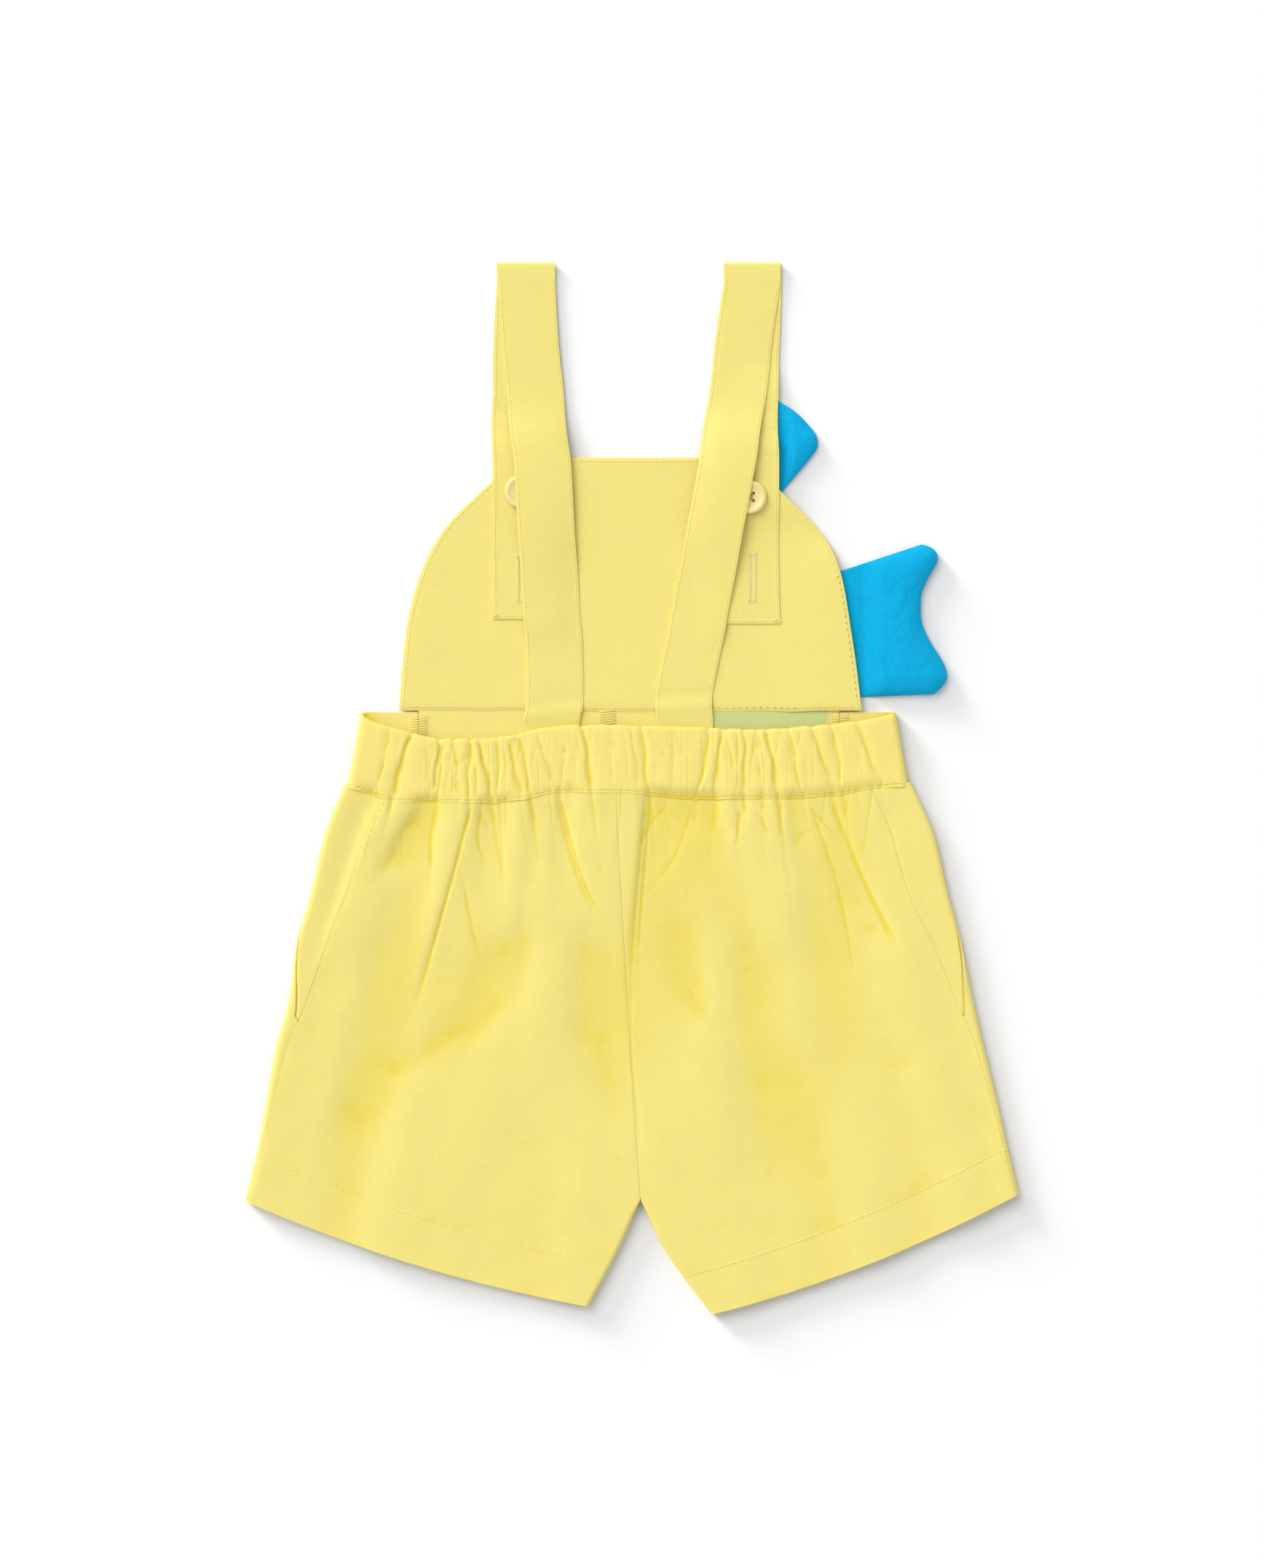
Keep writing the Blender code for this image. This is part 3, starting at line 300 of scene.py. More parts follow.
# Heights of the lining's face and of a strap over a button, and how the strap comes down again round it
LINING_TOP = 2.3
BUTTON_TOP = 5.8
BUTTON_SPREAD = 50.0
BUTTON_SLOPE = 42.0

# Grids and joins of the cloth
RIM_RADIUS = 0.12
RIM_ANGLE = 60.0
BACK_COLUMNS = 250
FRONT_COLUMNS = 90
HIP_COLUMNS = 54
ROW_CROWDING = 1.2
HIP_END = 0.56
BAND_DEPTH = 32.5
CREASE_SHARPNESS = 0.42
TOP_FOLD = 1.6
LIP_DEPTH = 1.9
LIP_RUN = 6.0
LIP_RISE = 0.35
SEAM_LAP = 1.4
LAP_DROP = 0.6
LAP_START = 0.45
LAP_RUN = 0.8
HEM_RISE = 0.1
HEM_RUN = 1.2
FRONT_BAND_HEIGHT = 1.6
FRONT_BAND_WALL = 1.4
BIB_WALL = 0.9
TINTED_RUN = (34, 88)
TINT_FADE = 3
BIB_RIM_DROP = 0.25
STRAP_RIM_DROP = 0.1
SEAM_SHOWS_TO = 45.0
SEAM_SHOWS_RUN = 10.0
WAIST_TUCK = 2.0
BIB_LAP = 2.4
# Lamps: the height of each above the floor and how wide it is, in degrees
KEY_HEIGHT = 45.0
KEY_ANGLE = 40.0
LOW_HEIGHT = 25.0
LOW_ANGLE = 40.0
SKIM_HEIGHT = 10.0
SKIM_ANGLE = 16.0
# Camera: its lens and sensor in millimetres, how far it sees and the middle of its view in metres
LENS = 85.0
SENSOR = 36.0
CLIP_END = 20.0
VIEW_CENTRE = (0.00008, 0.0024)

# Where cloth counts as creased and takes painted shade: how far round it looks, and how deep it lies below
# the cloth round it
HOLLOW_PASSES = 12
HOLLOW_DEPTH = 0.15
HOLLOW_START = 0.03
BIB_COLUMNS = 140
BIB_LINES = 84
STRAP_STEP = 1.5
STRAP_COLUMNS = 30
STRAP_FOLD_STEPS = 10
LEG_ROWS = {"left": LEFT_ROWS, "right": RIGHT_ROWS}
STRAP_RUNS = {"left": (LEFT_UPPER_RUN, LEFT_LOWER_RUN), "right": (RIGHT_UPPER_RUN, RIGHT_LOWER_RUN)}
UPPER_RUN_ROWS = {
    side: round((upper[-1].y - upper[0].y) / STRAP_STEP) + 1 for side, (upper, _) in STRAP_RUNS.items()
}
Pinch = namedtuple("Pinch", "y slant height")
STRAP_PINCH = {"left": Pinch(33.5, 0.14, 0.3), "right": Pinch(36.5, 0.05, 0.5)}

# Mesh density: rows down a leg, rows across the band, and columns per millimetre on flats, folds and curls
BACK_ROWS = 160
FRONT_ROWS = 84
HIP_ROWS = 96
BAND_ROWS = 38
BAND_COLUMNS = 600
FLAT_DENSITY = 1.0
FOLD_DENSITY = 4.0
CURL_DENSITY = 3.0

# Overlocked ends of the seams on the inside of the waistband: the corners of each block
Block = namedtuple("Block", "left right low high z")
OVERLOCK_BLOCKS = table_of(
    Block,
    (-98.0, -91.0, 24.4, 32.4, 2.6), (-14.6, -7.6, 28.6, 34.2, 1.9), (87.2, 94.8, 29.0, 33.4, 2.2),
)
# Buttonholes on the lower run of each strap: the free ones and then those in use
Buttonhole = namedtuple("Buttonhole", "x low high width")
BUTTONHOLES = table_of(
    Buttonhole,
    (-49.3, 83.0, 102.5, 3.6), (52.6, 83.0, 103.5, 3.6), (52.6, 121.5, 139.9, 3.6),
    (-49.0, 123.0, 141.5, 3.6),
)
SATIN_RISE = 0.12
SATIN_PLACE = 0.34
SATIN_WIDTH = 1.2
SATIN_PITCH = 0.36
BAR_WIDTH = 1.6
BAR_PITCH = 0.34
# Knots of thread at the corners of the straps' ends
STRAP_KNOTS = (("right", 63.4, 74.2), ("left", -60.0, 76.3))
# The topstitching beside the middle seam: its distance from the seam, and the grid's rows that it runs down
CENTRE_INSET = 1.3
CENTRE_STITCH_ROWS = (2, 32)
# Stretches of the bib's edge-stitching where the thread from under it shows: up its right side and along
# its lower edge
BOBBIN_HEIGHTS = (41.0, 94.0)
BOBBIN_RUN = (34.5, 72.0)
# Size of those dots against a stitch's
BOBBIN_LENGTH = 0.3
BOBBIN_WIDTH = 1.1
# Radii in metres of the threads that aren't in the settings
BUTTON_THREAD = 0.00018
SATIN_THREAD = 0.0002
OVERLOCK_THREAD = 0.00022
# How far a thread's middle lies above its cloth, as a share of its radius, on broad cloth and near an edge
THREAD_SEAT = 0.9
EDGE_THREAD_SEAT = 0.8

# Small unevenness of each part's cloth: the height and the width of its bumps
Bump = namedtuple("Bump", "height size seed")
BUMPS = {
    "back": table_of(Bump, (0.28, 30, 1), (0.12, 12, 2), (0.05, 5, 3)),
    "hip": table_of(Bump, (0.15, 14, 4)),
    "band": table_of(Bump, (0.12, 7, 5)),
    "front_band": table_of(Bump, (0.12, 9, 6)),
    "lining": table_of(Bump, (0.2, 34, 7), (0.1, 13, 8), (0.04, 5, 9)),
    "strap": table_of(Bump, (0.16, 22, 10), (0.05, 7, 11)),
    "fin": table_of(Bump, (0.35, 11, 12), (0.15, 5, 13)),
    "bib_edge": table_of(Bump, (0.5, 14, 17)),
    "strap_edge": table_of(Bump, (0.35, 16, 18)),
}
# The broad folds of the shorts, and how far below the waistband each fades
Drape = namedtuple("Drape", "height size seed reach")
DRAPES = table_of(Drape, (1.9, 90, 21, 260), (0.8, 42, 22, 45))
DRAPE_STRETCH = 6

# Grooves that seams and stitches draw into the cloth
Groove = namedtuple("Groove", "depth width")
HEM_GROOVE = Groove(0.06, 0.6)
SIDE_GROOVE = Groove(0.12, 0.6)
CENTRE_GROOVE = Groove(0.12, 0.5)
BIB_GROOVE = Groove(0.08, 0.6)
STRAP_GROOVE = Groove(0.07, 0.6)


def smooth_step(value):
    """From 0 to 1 with soft ends."""
    value = np.clip(value, 0, 1)
    return value * value * (3 - 2 * value)


def follow(knots, values, at):
    """A smooth curve through the values that never swings past them."""
    knots = np.asarray(knots, float)
    values = np.asarray(values, float)
    slopes = np.diff(values) / np.diff(knots)
    before = slopes[:-1]
    after = slopes[1:]
    same_way = before * after > 0
    inner = np.where(same_way, 2 * before * after / np.where(same_way, before + after, 1), 0)
    tangents = np.concatenate([slopes[:1], inner, slopes[-1:]])
    at = np.clip(at, knots[0], knots[-1])
    span = np.clip(np.searchsorted(knots, at, side="right") - 1, 0, len(knots) - 2)
    width = knots[span + 1] - knots[span]
    t = (at - knots[span]) / width
    rise = values[span + 1] - values[span]
    start = tangents[span] * width
    end = tangents[span + 1] * width
    return values[span] + t * start + t**2 * (3 * rise - 2 * start - end) + t**3 * (start + end - 2 * rise)


def read(table, key, name, at):
    """One column of a table, read at places along its key column."""
    rows = sorted(table, key=lambda row: getattr(row, key))
    return follow([getattr(row, key) for row in rows], [getattr(row, name) for row in rows], at)


def fin_lift(x, y):
    """How far cloth rides up over the roots of the fins."""
    lift = np.zeros_like(x * y)
    for ride in RIDES:
        across = smooth_step((x - ride.x) / ride.run)
        above_low = smooth_step((y - ride.low) / ride.margin + 1)
        below_high = smooth_step((ride.high - y) / ride.margin + 1)
        lift = np.maximum(lift, FIN_LIFT * across * above_low * below_high)
    return lift


def fold_relief(x, y, folds=FOLDS):
    """Height of the folds in the back of the shorts above its mean."""
    relief = np.zeros_like(x * y)
    for fold in folds:
        line = follow((fold.y2, fold.y1, fold.y0), (fold.x2, fold.x1, fold.x0), y)
        slant = math.atan2(fold.x2 - fold.x0, fold.y0 - fold.y2)
        away = (x - line) * math.cos(slant)
        spread = np.where(away < 0, fold.left, fold.right)
        down = (fold.y0 - y) / (fold.y0 - fold.y2)
        start = 1 if fold.pinned else smooth_step(down / FOLD_FADE_IN)
        strength = smooth_step((1 - down) / FOLD_FADE_OUT) * start
        sharp = fold in SHARP_FOLDS
        relief += (SHARP_SCALE if sharp else WIDE_SCALE) * fold.height * dip(away, spread) * strength
        # A sharp fold has a thin crease along its steeper side, and a trough has one along its middle.
        if sharp:
            foot = FOOT_PLACE * (fold.right if fold.right < fold.left else -fold.left) * (fold.height > 0)
            relief -= FOOT_DEPTH * dip(away - foot, FOOT_WIDTH) * strength
    return relief


def gather_relief(x, below):
    """The small pleats that run down from each crease of the waistband into the shorts."""
    relief = np.zeros_like(x * below)
    for index, crease in enumerate(CREASES):
        lean = (crease.x_bottom - crease.x_top) / BAND_DEPTH
        line = crease.x_bottom + lean * below * GATHER_LEAN
        reach = GATHER_REACH * (0.6 + 0.5 * (index % 3))
        away = x - line
        trough = dip(away, GATHER_WIDTH)
        crest = GATHER_CREST * dip(away - 2.6 * GATHER_WIDTH, 1.6 * GATHER_WIDTH)
        relief += GATHER_DEPTH * crease.depth * (crest - trough) * np.exp(-np.maximum(below, 0) / reach)
    fan = ridged(x * 2.6 + 0.12 * x * below / 30, below, 26, 14)
    return relief - FAN_DEPTH * fan * np.exp(-np.maximum(below, 0) / FAN_REACH)


def drape_relief(x, below):
    """The long soft folds that fan out of the waistband and fade towards the hem."""
    fanned = x / (1 + below / FAN_SPREAD) * DRAPE_STRETCH
    relief = 0
    for drape in DRAPES:
        noise = soft_noise(fanned, below, drape.size, drape.seed)
        relief = relief + drape.height * noise * np.exp(-below / drape.reach)
    return relief


def valley_shade_share(points):
    """How much of the painted crease shade, the creased cloth's deeper colour, the broad hollows of the back
    take on.
    """
    x = points[..., 0]
    y = points[..., 1]
    below = np.maximum(read(WAIST_EDGE, "x", "y", x) - y, 0)
    depth = -fold_relief(x, y, WIDE_FOLDS) - drape_relief(x, below)
    return VALLEY_SHADE_SHARE * smooth_step(depth / VALLEY_DEPTH)


def soft_noise(x, y, size, seed):
    """Smooth unevenness between about -1 and 1 whose bumps are `size` millimetres across."""
    lattice = np.random.default_rng(seed).uniform(-1, 1, (96, 96))
    column = x / size + 48
    row = y / size + 48
    left = np.floor(column).astype(int)
    low = np.floor(row).astype(int)
    across = smooth_step(column - left)
    up = smooth_step(row - low)

    def corner(right, top):
        return lattice[(low + top) % 96, (left + right) % 96]

    lower = corner(0, 0) + (corner(1, 0) - corner(0, 0)) * across
    upper = corner(0, 1) + (corner(1, 1) - corner(0, 1)) * across
    return lower + (upper - lower) * up


def bumps(part, x, y):
    """The small unevenness of one part's cloth, added up from its layers of noise."""
    return sum(bump.height * soft_noise(x, y, bump.size, bump.seed) for bump in BUMPS[part])


def ridged(x, y, size, seed):
    """Thin lines that wander like the creases of cloth drawn together: 1 along each line."""
    return (1 - np.abs(soft_noise(x, y, size, seed))) ** 9


def dip(distance, width):
    """A soft groove or ridge: 1 on its line and fading out over the width."""
    return np.exp(-((distance / width) ** 2))


def groove(kind, distance):
    """How deep a groove is at a distance from its line."""
    return kind.depth * dip(distance, kind.width)


def normals_of(points):
    """Outward normals of a grid, from its own rows and columns."""
    across = np.gradient(points, axis=1)
    up = np.gradient(points, axis=0)
    normals = np.cross(across, up)
    return normals / np.linalg.norm(normals, axis=-1, keepdims=True)


def proud(points, amount):
    """The grid moved out along its normals."""
    return points + normals_of(points) * amount[..., None]


def along_rows(points):
    """Distance of each point from the last row, measured down its own column."""
    steps = np.linalg.norm(np.diff(points, axis=0), axis=-1)
    return np.concatenate([np.cumsum(steps[::-1], axis=0)[::-1], np.zeros((1, points.shape[1]))])


def cut_of(points):
    """Flat cloth coordinates of a grid, for the weave to follow."""
    across = np.linalg.norm(np.diff(points, axis=1), axis=-1)
    across = np.concatenate([np.zeros((points.shape[0], 1)), np.cumsum(across, axis=1)], axis=1)
    return np.stack((across, along_rows(points)), axis=-1)


def seam_girth(rows, level):
    """The side seam's place as a girth from the middle of the side fold."""
    inset = read(rows, "level", "seam_in", level)
    on_fold = SIDE_FOLD_RADIUS * np.arccos(np.clip(1 - inset / SIDE_FOLD_RADIUS, -1, 1))
    past_fold = SIDE_FOLD_RADIUS * math.pi / 2 + inset - SIDE_FOLD_RADIUS
    return np.where(inset < SIDE_FOLD_RADIUS, on_fold, past_fold)


def mouth_girth(rows, level):
    """Where the front panel ends: at the pocket mouth, and below it at the side seam."""
    mouth = read(POCKET_MOUTH, "level", "girth", level)
    return np.where(level < POCKET_MOUTH[-1].level, mouth, seam_girth(rows, level))


def inner_point(rows, level):
    """The inner end of a row: on the seam up the middle, and below the crotch on the leg's own inseam."""
    seam_y = CENTRE_SEAM[0].y + (CENTRE_SEAM[-1].y - CENTRE_SEAM[0].y) * level / CROTCH
    seam_x = read(CENTRE_SEAM, "y", "x", seam_y)
    inseam = INSEAMS["left" if rows is LEFT_ROWS else "right"]
    above = level <= CROTCH
    x = np.where(above, seam_x, read(inseam, "level", "x", level))
    return x, np.where(above, seam_y, read(inseam, "level", "y", level))


def row_length(rows, level):
    """From the side fold to the inner end of a row."""
    inner_x, inner_y = inner_point(rows, level)
    across = read(rows, "level", "side_x", level) - inner_x
    along = read(rows, "level", "side_y", level) - inner_y
    return np.hypot(across, along)


def inner_girth(rows, level):
    """Girth from the middle of the side fold to the inner edge."""
    return row_length(rows, level) - SIDE_FOLD_RADIUS * (1 - math.pi / 2) - SEAM_GAP / 2


def back_height(x, y, below):
    """Height of the back of the shorts at a place and at its distance below the waistband."""
    free = PINNED_SHARE + (1 - PINNED_SHARE) * smooth_step(below / PINNED_RUN)
    relief = fold_relief(x, y) * free
    relief += gather_relief(x, below) + drape_relief(x, np.maximum(below, 0))
    puff = WAIST_PUFF * smooth_step(1 - below / WAIST_PUFF_RUN)
    return BACK_HEIGHT + BACK_SWING * np.tanh(relief / BACK_SWING) + puff


def shorts_point(rows, level, girth):
    """A point on the outside of one leg: girth is negative on the front and positive on the back."""
    inner_x, inner_y = inner_point(rows, level)
    side_x = read(rows, "level", "side_x", level)
    side_y = read(rows, "level", "side_y", level)
    length = row_length(rows, level)
    quarter = SIDE_FOLD_RADIUS * math.pi / 2
    angle = np.clip(girth / SIDE_FOLD_RADIUS, -math.pi / 2, math.pi / 2)
    inset = SIDE_FOLD_RADIUS * (1 - np.cos(angle)) + np.maximum(np.abs(girth) - quarter, 0)
    across = 1 - inset / length
    x = inner_x + (side_x - inner_x) * across
    y = inner_y + (side_y - inner_y) * across - 4 * HEM_BOW * level**2 * across * (1 - across)
    on_back = girth > 0
    waist = np.where(on_back, read(WAIST_EDGE, "x", "y", x), read(FRONT_WAIST_EDGE, "x", "y", x))
    straight_waist = CENTRE_SEAM[0].y + (rows[0].side_y - CENTRE_SEAM[0].y) * across
    y += (waist + WAIST_TUCK - straight_waist) * (1 - smooth_step(level / WAIST_BLEND))
    settle = smooth_step((np.abs(girth) - quarter) / SIDE_SETTLE)
    fold_top = 2 * SIDE_FOLD_RADIUS
    below = read(WAIST_EDGE, "x", "y", x) - y
    back = back_height(x, y, below) - WAIST_DROP * smooth_step(-0.1 - below / WAIST_TUCK)
    top = fold_top + (back - fold_top) * settle
    z = np.where(on_back & (np.abs(girth) > quarter), top, SIDE_FOLD_RADIUS * (1 + np.sin(angle)))
    # Below the crotch the front and the back curl towards each other at the inseam.
    curl = smooth_step((level - CROTCH) / CURL_RUN)
    from_edge = np.clip((length - inset) / INSEAM_CURL, 0, 1)
    closing = (1 - np.sqrt(1 - (1 - from_edge) ** 2)) * curl
    meeting = BACK_HEIGHT / 2 + np.where(on_back, SEAM_GAP, -SEAM_GAP) / 2
    return x, y, z + (meeting - z) * closing


def spaced_girths(start, end, length, columns):
    """Girths from start to end, closer together round the side fold and at the inseam."""
    quarter = SIDE_FOLD_RADIUS * math.pi / 2
    inner = length - SIDE_FOLD_RADIUS * (1 - math.pi / 2)
    places = np.array([-inner, -inner + INSEAM_CURL, -quarter, quarter, inner - INSEAM_CURL, inner])
    weights = np.array([CURL_DENSITY, FLAT_DENSITY, FOLD_DENSITY, FLAT_DENSITY, CURL_DENSITY])
    counts = np.concatenate([[0], np.cumsum(np.diff(places) * weights)])
    ends = np.interp((start, end), places, counts)
    return np.interp(np.linspace(ends[0], ends[1], columns + 1), counts, places)


def leg_grid(side, start, end, levels, columns):
    """A panel of one leg as a grid, between two girths that each follow the level."""
    rows = LEG_ROWS[side]
    lines = []
    for level in levels:
        spans = (float(reach(rows, level)) for reach in (start, end, row_length))
        girths = spaced_girths(*spans, columns)
        lines.append(np.stack(shorts_point(rows, level, girths), axis=-1))
    points = np.array(lines)
    # Walking from the front round to the back turns the other way on the left leg.
    return points[:, ::-1] if side == "left" else points


def under_lap(from_edge):
    """1 where a panel's edge lies under its neighbour, softly ended: the lap runs in from the edge."""
    return smooth_step(LAP_START - (from_edge - SEAM_LAP) / LAP_RUN)


def hem_relief(from_hem):
    """The hem turned up inside: thicker cloth below its line of stitching, and a groove along the line."""
    turned_up = smooth_step((HEM_DEPTH - from_hem) / HEM_RUN + 0.5)
    return HEM_RISE * turned_up - groove(HEM_GROOVE, from_hem - HEM_DEPTH)


@lru_cache(maxsize=None)
def back_grid(side):
    """The back panel of one leg: folds, gathers, hem and the seams at its two sides."""
    points = leg_grid(
        side,
        seam_girth,
        lambda rows, level: inner_girth(rows, level) + SEAM_GAP / 2 + 0.05,
        np.linspace(0, 1, BACK_ROWS) ** ROW_CROWDING,
        BACK_COLUMNS,
    )
    x = points[..., 0]
    y = points[..., 1]
    from_hem = along_rows(points)
    across = cut_of(points)[..., 0]
    from_left = across
    from_right = across[:, -1:] - across
    lift = bumps("back", x, y) + hem_relief(from_hem)
    lift *= smooth_step(np.minimum(from_left, from_right) / 3)
    from_side, from_centre = (from_left, from_right) if side == "left" else (from_right, from_left)
    seam_shows = smooth_step((y + SEAM_SHOWS_TO) / SEAM_SHOWS_RUN)
    lift -= groove(SIDE_GROOVE, from_side) + groove(CENTRE_GROOVE, from_centre) * seam_shows
    return proud(points, lift), from_hem


@lru_cache(maxsize=None)
def front_grid(side):
    """The front panel of one leg, which lies on the surface and turns up round the side."""
    points = leg_grid(
        side,
        lambda rows, level: -inner_girth(rows, level),
        lambda rows, level: mouth_girth(rows, level) + SEAM_LAP * smooth_step((level - HIP_END) / 0.02),
        np.linspace(0, 1, FRONT_ROWS),
        FRONT_COLUMNS,
    )
    across = cut_of(points)[..., 0]
    from_side = across[:, -1:] - across if side == "right" else across
    lap = smooth_step((np.linspace(0, 1, FRONT_ROWS)[:, None] - HIP_END) / 0.02)
    lift = -LAP_DROP * lap * under_lap(from_side)
    return proud(points, lift), along_rows(points)


@lru_cache(maxsize=None)
def hip_grid(side):
    """The hip piece between the pocket's mouth and the side seam."""
    points = leg_grid(
        side,
        lambda rows, level: mouth_girth(rows, level) - SEAM_LAP,
        lambda rows, level: seam_girth(rows, level) + SEAM_LAP,
        np.linspace(0, HIP_END, HIP_ROWS),
        HIP_COLUMNS,
    )
    x = points[..., 0]
    y = points[..., 1]
    below = along_rows(points)[0] - along_rows(points)
    across = cut_of(points)[..., 0]
    seam_side = across[:, -1:] - across if side == "right" else across
    lift = bumps("hip", x, y) - LAP_DROP * under_lap(seam_side)
    lift *= smooth_step(points[..., 2] / 2 - 0.5)
    mouth_side = across if side == "right" else across[:, -1:] - across
    lift -= 0.9 * smooth_step(1.3 - (mouth_side - SEAM_LAP) / 1.2)
    points = proud(points, lift)
    points[..., 2] = np.maximum(points[..., 2], 0.9)
    return points, below


def band_relief(x, down):
    """The creases of the elastic waistband, thin lines between soft rolls, at each place down the band."""
    relief = np.zeros_like(x * down)
    for index, crease in enumerate(CREASES):
        wander = 0.5 * np.sin(5 * down + 2.4 * index) + 0.25 * np.sin(13 * down + 1.7 * index)
        line = crease.x_top + (crease.x_bottom - crease.x_top) * down + wander
        above = smooth_step((down - crease.start) / CREASE_FADE + 1)
        below = smooth_step((crease.end - down) / CREASE_FADE + 1)
        width = crease.half_width * CREASE_SHARPNESS * (1 + 0.35 * np.sin(7 * down + 3.1 * index))
        away = (x - line) * (1 if index % 2 else -1)
        spread = np.where(away < 0, width, 2.2 * width)
        shape = 0.25 * dip(away + 3.2 * width, 2 * width) - 0.75 * dip(away, spread) - 0.3 * dip(away, 3.6)
        relief += BAND_SCALE * crease.depth * above * below * shape
    crowded = 0.35 + 0.65 * np.maximum(dip(x + 66, 30), dip(x - 48, 34))
    below_top = down * BAND_DEPTH
    fine = ridged(x * 4.4 + 2 * down, below_top, 24, 15) + 0.7 * ridged(x * 7 - 3 * down, below_top, 20, 16)
    return relief - BAND_FINE_DEPTH * fine * crowded


def band_point(girth, down):
    """A point on the band's outside.

    Girth runs from -3, under the left side, over the back to 3, under the right side. The top is -1 to 1,
    each side fold is the next unit and what turns under is the last, so every row keeps the same columns.
    """
    radius = BAND_FOLD_RADIUS
    quarter = radius * math.pi / 2
    left = BAND_SIDE_LEFT.x + (BAND_SIDE_LEFT.y - BAND_SIDE_LEFT.x) * down
    right = BAND_SIDE_RIGHT.x + (BAND_SIDE_RIGHT.y - BAND_SIDE_RIGHT.x) * down
    middle = (left + right) / 2
    half = (right - left) / 2
    side = np.sign(girth)
    part = np.abs(girth)
    turn_end = np.where(side < 0, middle - BAND_TURN_LEFT, BAND_TURN_RIGHT - middle)
    top = np.clip(part, 0, 1) * (half - radius)
    angle = math.pi / 2 - math.pi * np.clip(part - 1, 0, 1)
    under = (half - radius - turn_end) * np.clip(part - 2, 0, 1)
    away = top + radius * np.cos(angle) * (part > 1) - under
    x = middle + side * away
    settle = smooth_step((half - radius - away) / (2 * quarter))
    relief = band_relief(x, down)
    raised = 2 * radius + (BAND_HEIGHT + relief - 2 * radius) * settle
    z = np.where(part <= 1, raised, radius * (1 + np.sin(angle)))
    under_top = smooth_step(part - 1)
    top_edge = read(BAND_TOP_EDGE, "x", "y", x) * (1 - under_top) + FRONT_BAND_TOP * under_top
    back_edge = read(WAIST_EDGE, "x", "y", x)
    lower_edge = back_edge + (read(FRONT_WAIST_EDGE, "x", "y", x) - back_edge) * under_top
    y = top_edge + (lower_edge - top_edge) * down
    # The top is a fold of the cloth, notched where a crease reaches it, and the lower edge is a stitched lip.
    from_top = down * BAND_DEPTH
    from_bottom = (1 - down) * BAND_DEPTH
    y += (1 - under_top) * relief * 0.8 * dip(from_top, 2.5)
    y += (1 - under_top) * relief * 0.5 * dip(from_bottom, 2.5)
    rounding = 1 - np.sqrt(1 - (1 - np.clip(from_top / TOP_FOLD, 0, 1)) ** 2)
    seated = (part <= 1) * settle * smooth_step(1 - from_bottom / LIP_RUN)
    z += (back_height(x, back_edge, 0 * x) + LIP_RISE - z) * seated
    lip = 0.3 * dip(from_bottom - LIP_DEPTH, 0.6) + 0.25 * smooth_step(1 - from_bottom / 0.9)
    z -= (1 - under_top) * (1.2 * rounding + lip)
    return x, y, z


@lru_cache(maxsize=None)
def band_grid():
    """The gathered band from under the left side over the back to under the right side."""
    top = np.linspace(-1, 1, BAND_COLUMNS + 1)
    turned = np.concatenate([np.linspace(1, 2, 13)[1:], np.linspace(2, 3, 9)[1:]])
    girths = np.concatenate([-turned[::-1], top, turned])
    downs = np.linspace(1, 0, BAND_ROWS)
    points = np.array([np.stack(band_point(girths, down), axis=-1) for down in downs])
    lift = bumps("band", points[..., 0], points[..., 1]) * (np.abs(girths) < 1)
    return proud(points, lift)


@lru_cache(maxsize=None)
def front_band_grid():
    """The flat front of the waistband, its inside up."""
    xs = np.linspace(BAND_TURN_LEFT + SEAM_GAP, BAND_TURN_RIGHT - SEAM_GAP, 160)
    lower = read(FRONT_WAIST_EDGE, "x", "y", xs)
    lines = []
    for share in np.linspace(0, 1, 30):
        ys = lower + (FRONT_BAND_TOP + BIB_LAP - lower) * share
        z = FRONT_BAND_HEIGHT + bumps("front_band", xs, ys)
        lines.append(np.stack((xs, ys, z), axis=-1))
    return np.array(lines)


def bib_grid(height, low=BIB_ROWS[-1].y):
    """The bib's outline filled with a grid whose face lies at a height, riding over the fins' roots."""
    even = np.linspace(0, 1, BIB_COLUMNS + 1)
    ys = np.linspace(low, BIB_ROWS[0].y, BIB_LINES)
    lines = []
    for y in ys:
        left = read(BIB_ROWS, "y", "left", y)
        right = read(BIB_ROWS, "y", "right", y)
        xs = left + (right - left) * even
        line_y = np.full_like(xs, y)
        lines.append(np.stack((xs, line_y, height + fin_lift(xs, line_y)), axis=-1))
    return np.array(lines)


def edge_distance(points):
    """How far each point of a grid is from the nearest of its four edges."""
    across = np.linalg.norm(np.diff(points, axis=1), axis=-1)
    from_left = np.concatenate([np.zeros((points.shape[0], 1)), np.cumsum(across, axis=1)], axis=1)
    from_right = from_left[:, -1:] - from_left
    from_low = along_rows(points)
    from_high = from_low[:1] - from_low
    return np.minimum(np.minimum(from_left, from_right), np.minimum(from_low, from_high))


@lru_cache(maxsize=None)
def lining_grid():
    """The bib's lining, its face up, with the edge-stitching's groove and the rim drawn down."""
    points = bib_grid(2 * CLOTH + SEAM_GAP)
    x = points[..., 0]
    y = points[..., 1]
    inward = edge_distance(points)
    lift = bumps("lining", x, y) * smooth_step(inward / 6)
    lift -= groove(BIB_GROOVE, inward - BIB_STITCH_INSET) + BIB_RIM_DROP * smooth_step(1 - inward / 1.3)
    points[..., 2] += lift
    from_low = points[..., 1] - BIB_ROWS[-1].y
    points[..., 2] -= 0.35 * smooth_step(1 - from_low / 3)
    points[..., 1] += bumps("bib_edge", x, 0 * y) * smooth_step(1 - from_low / 10)
    return points


def button_ride(place):
    """How far a button rides up with the strap under it."""
    return float(fin_lift(np.float64(place.x + 3), np.float64(place.y)))


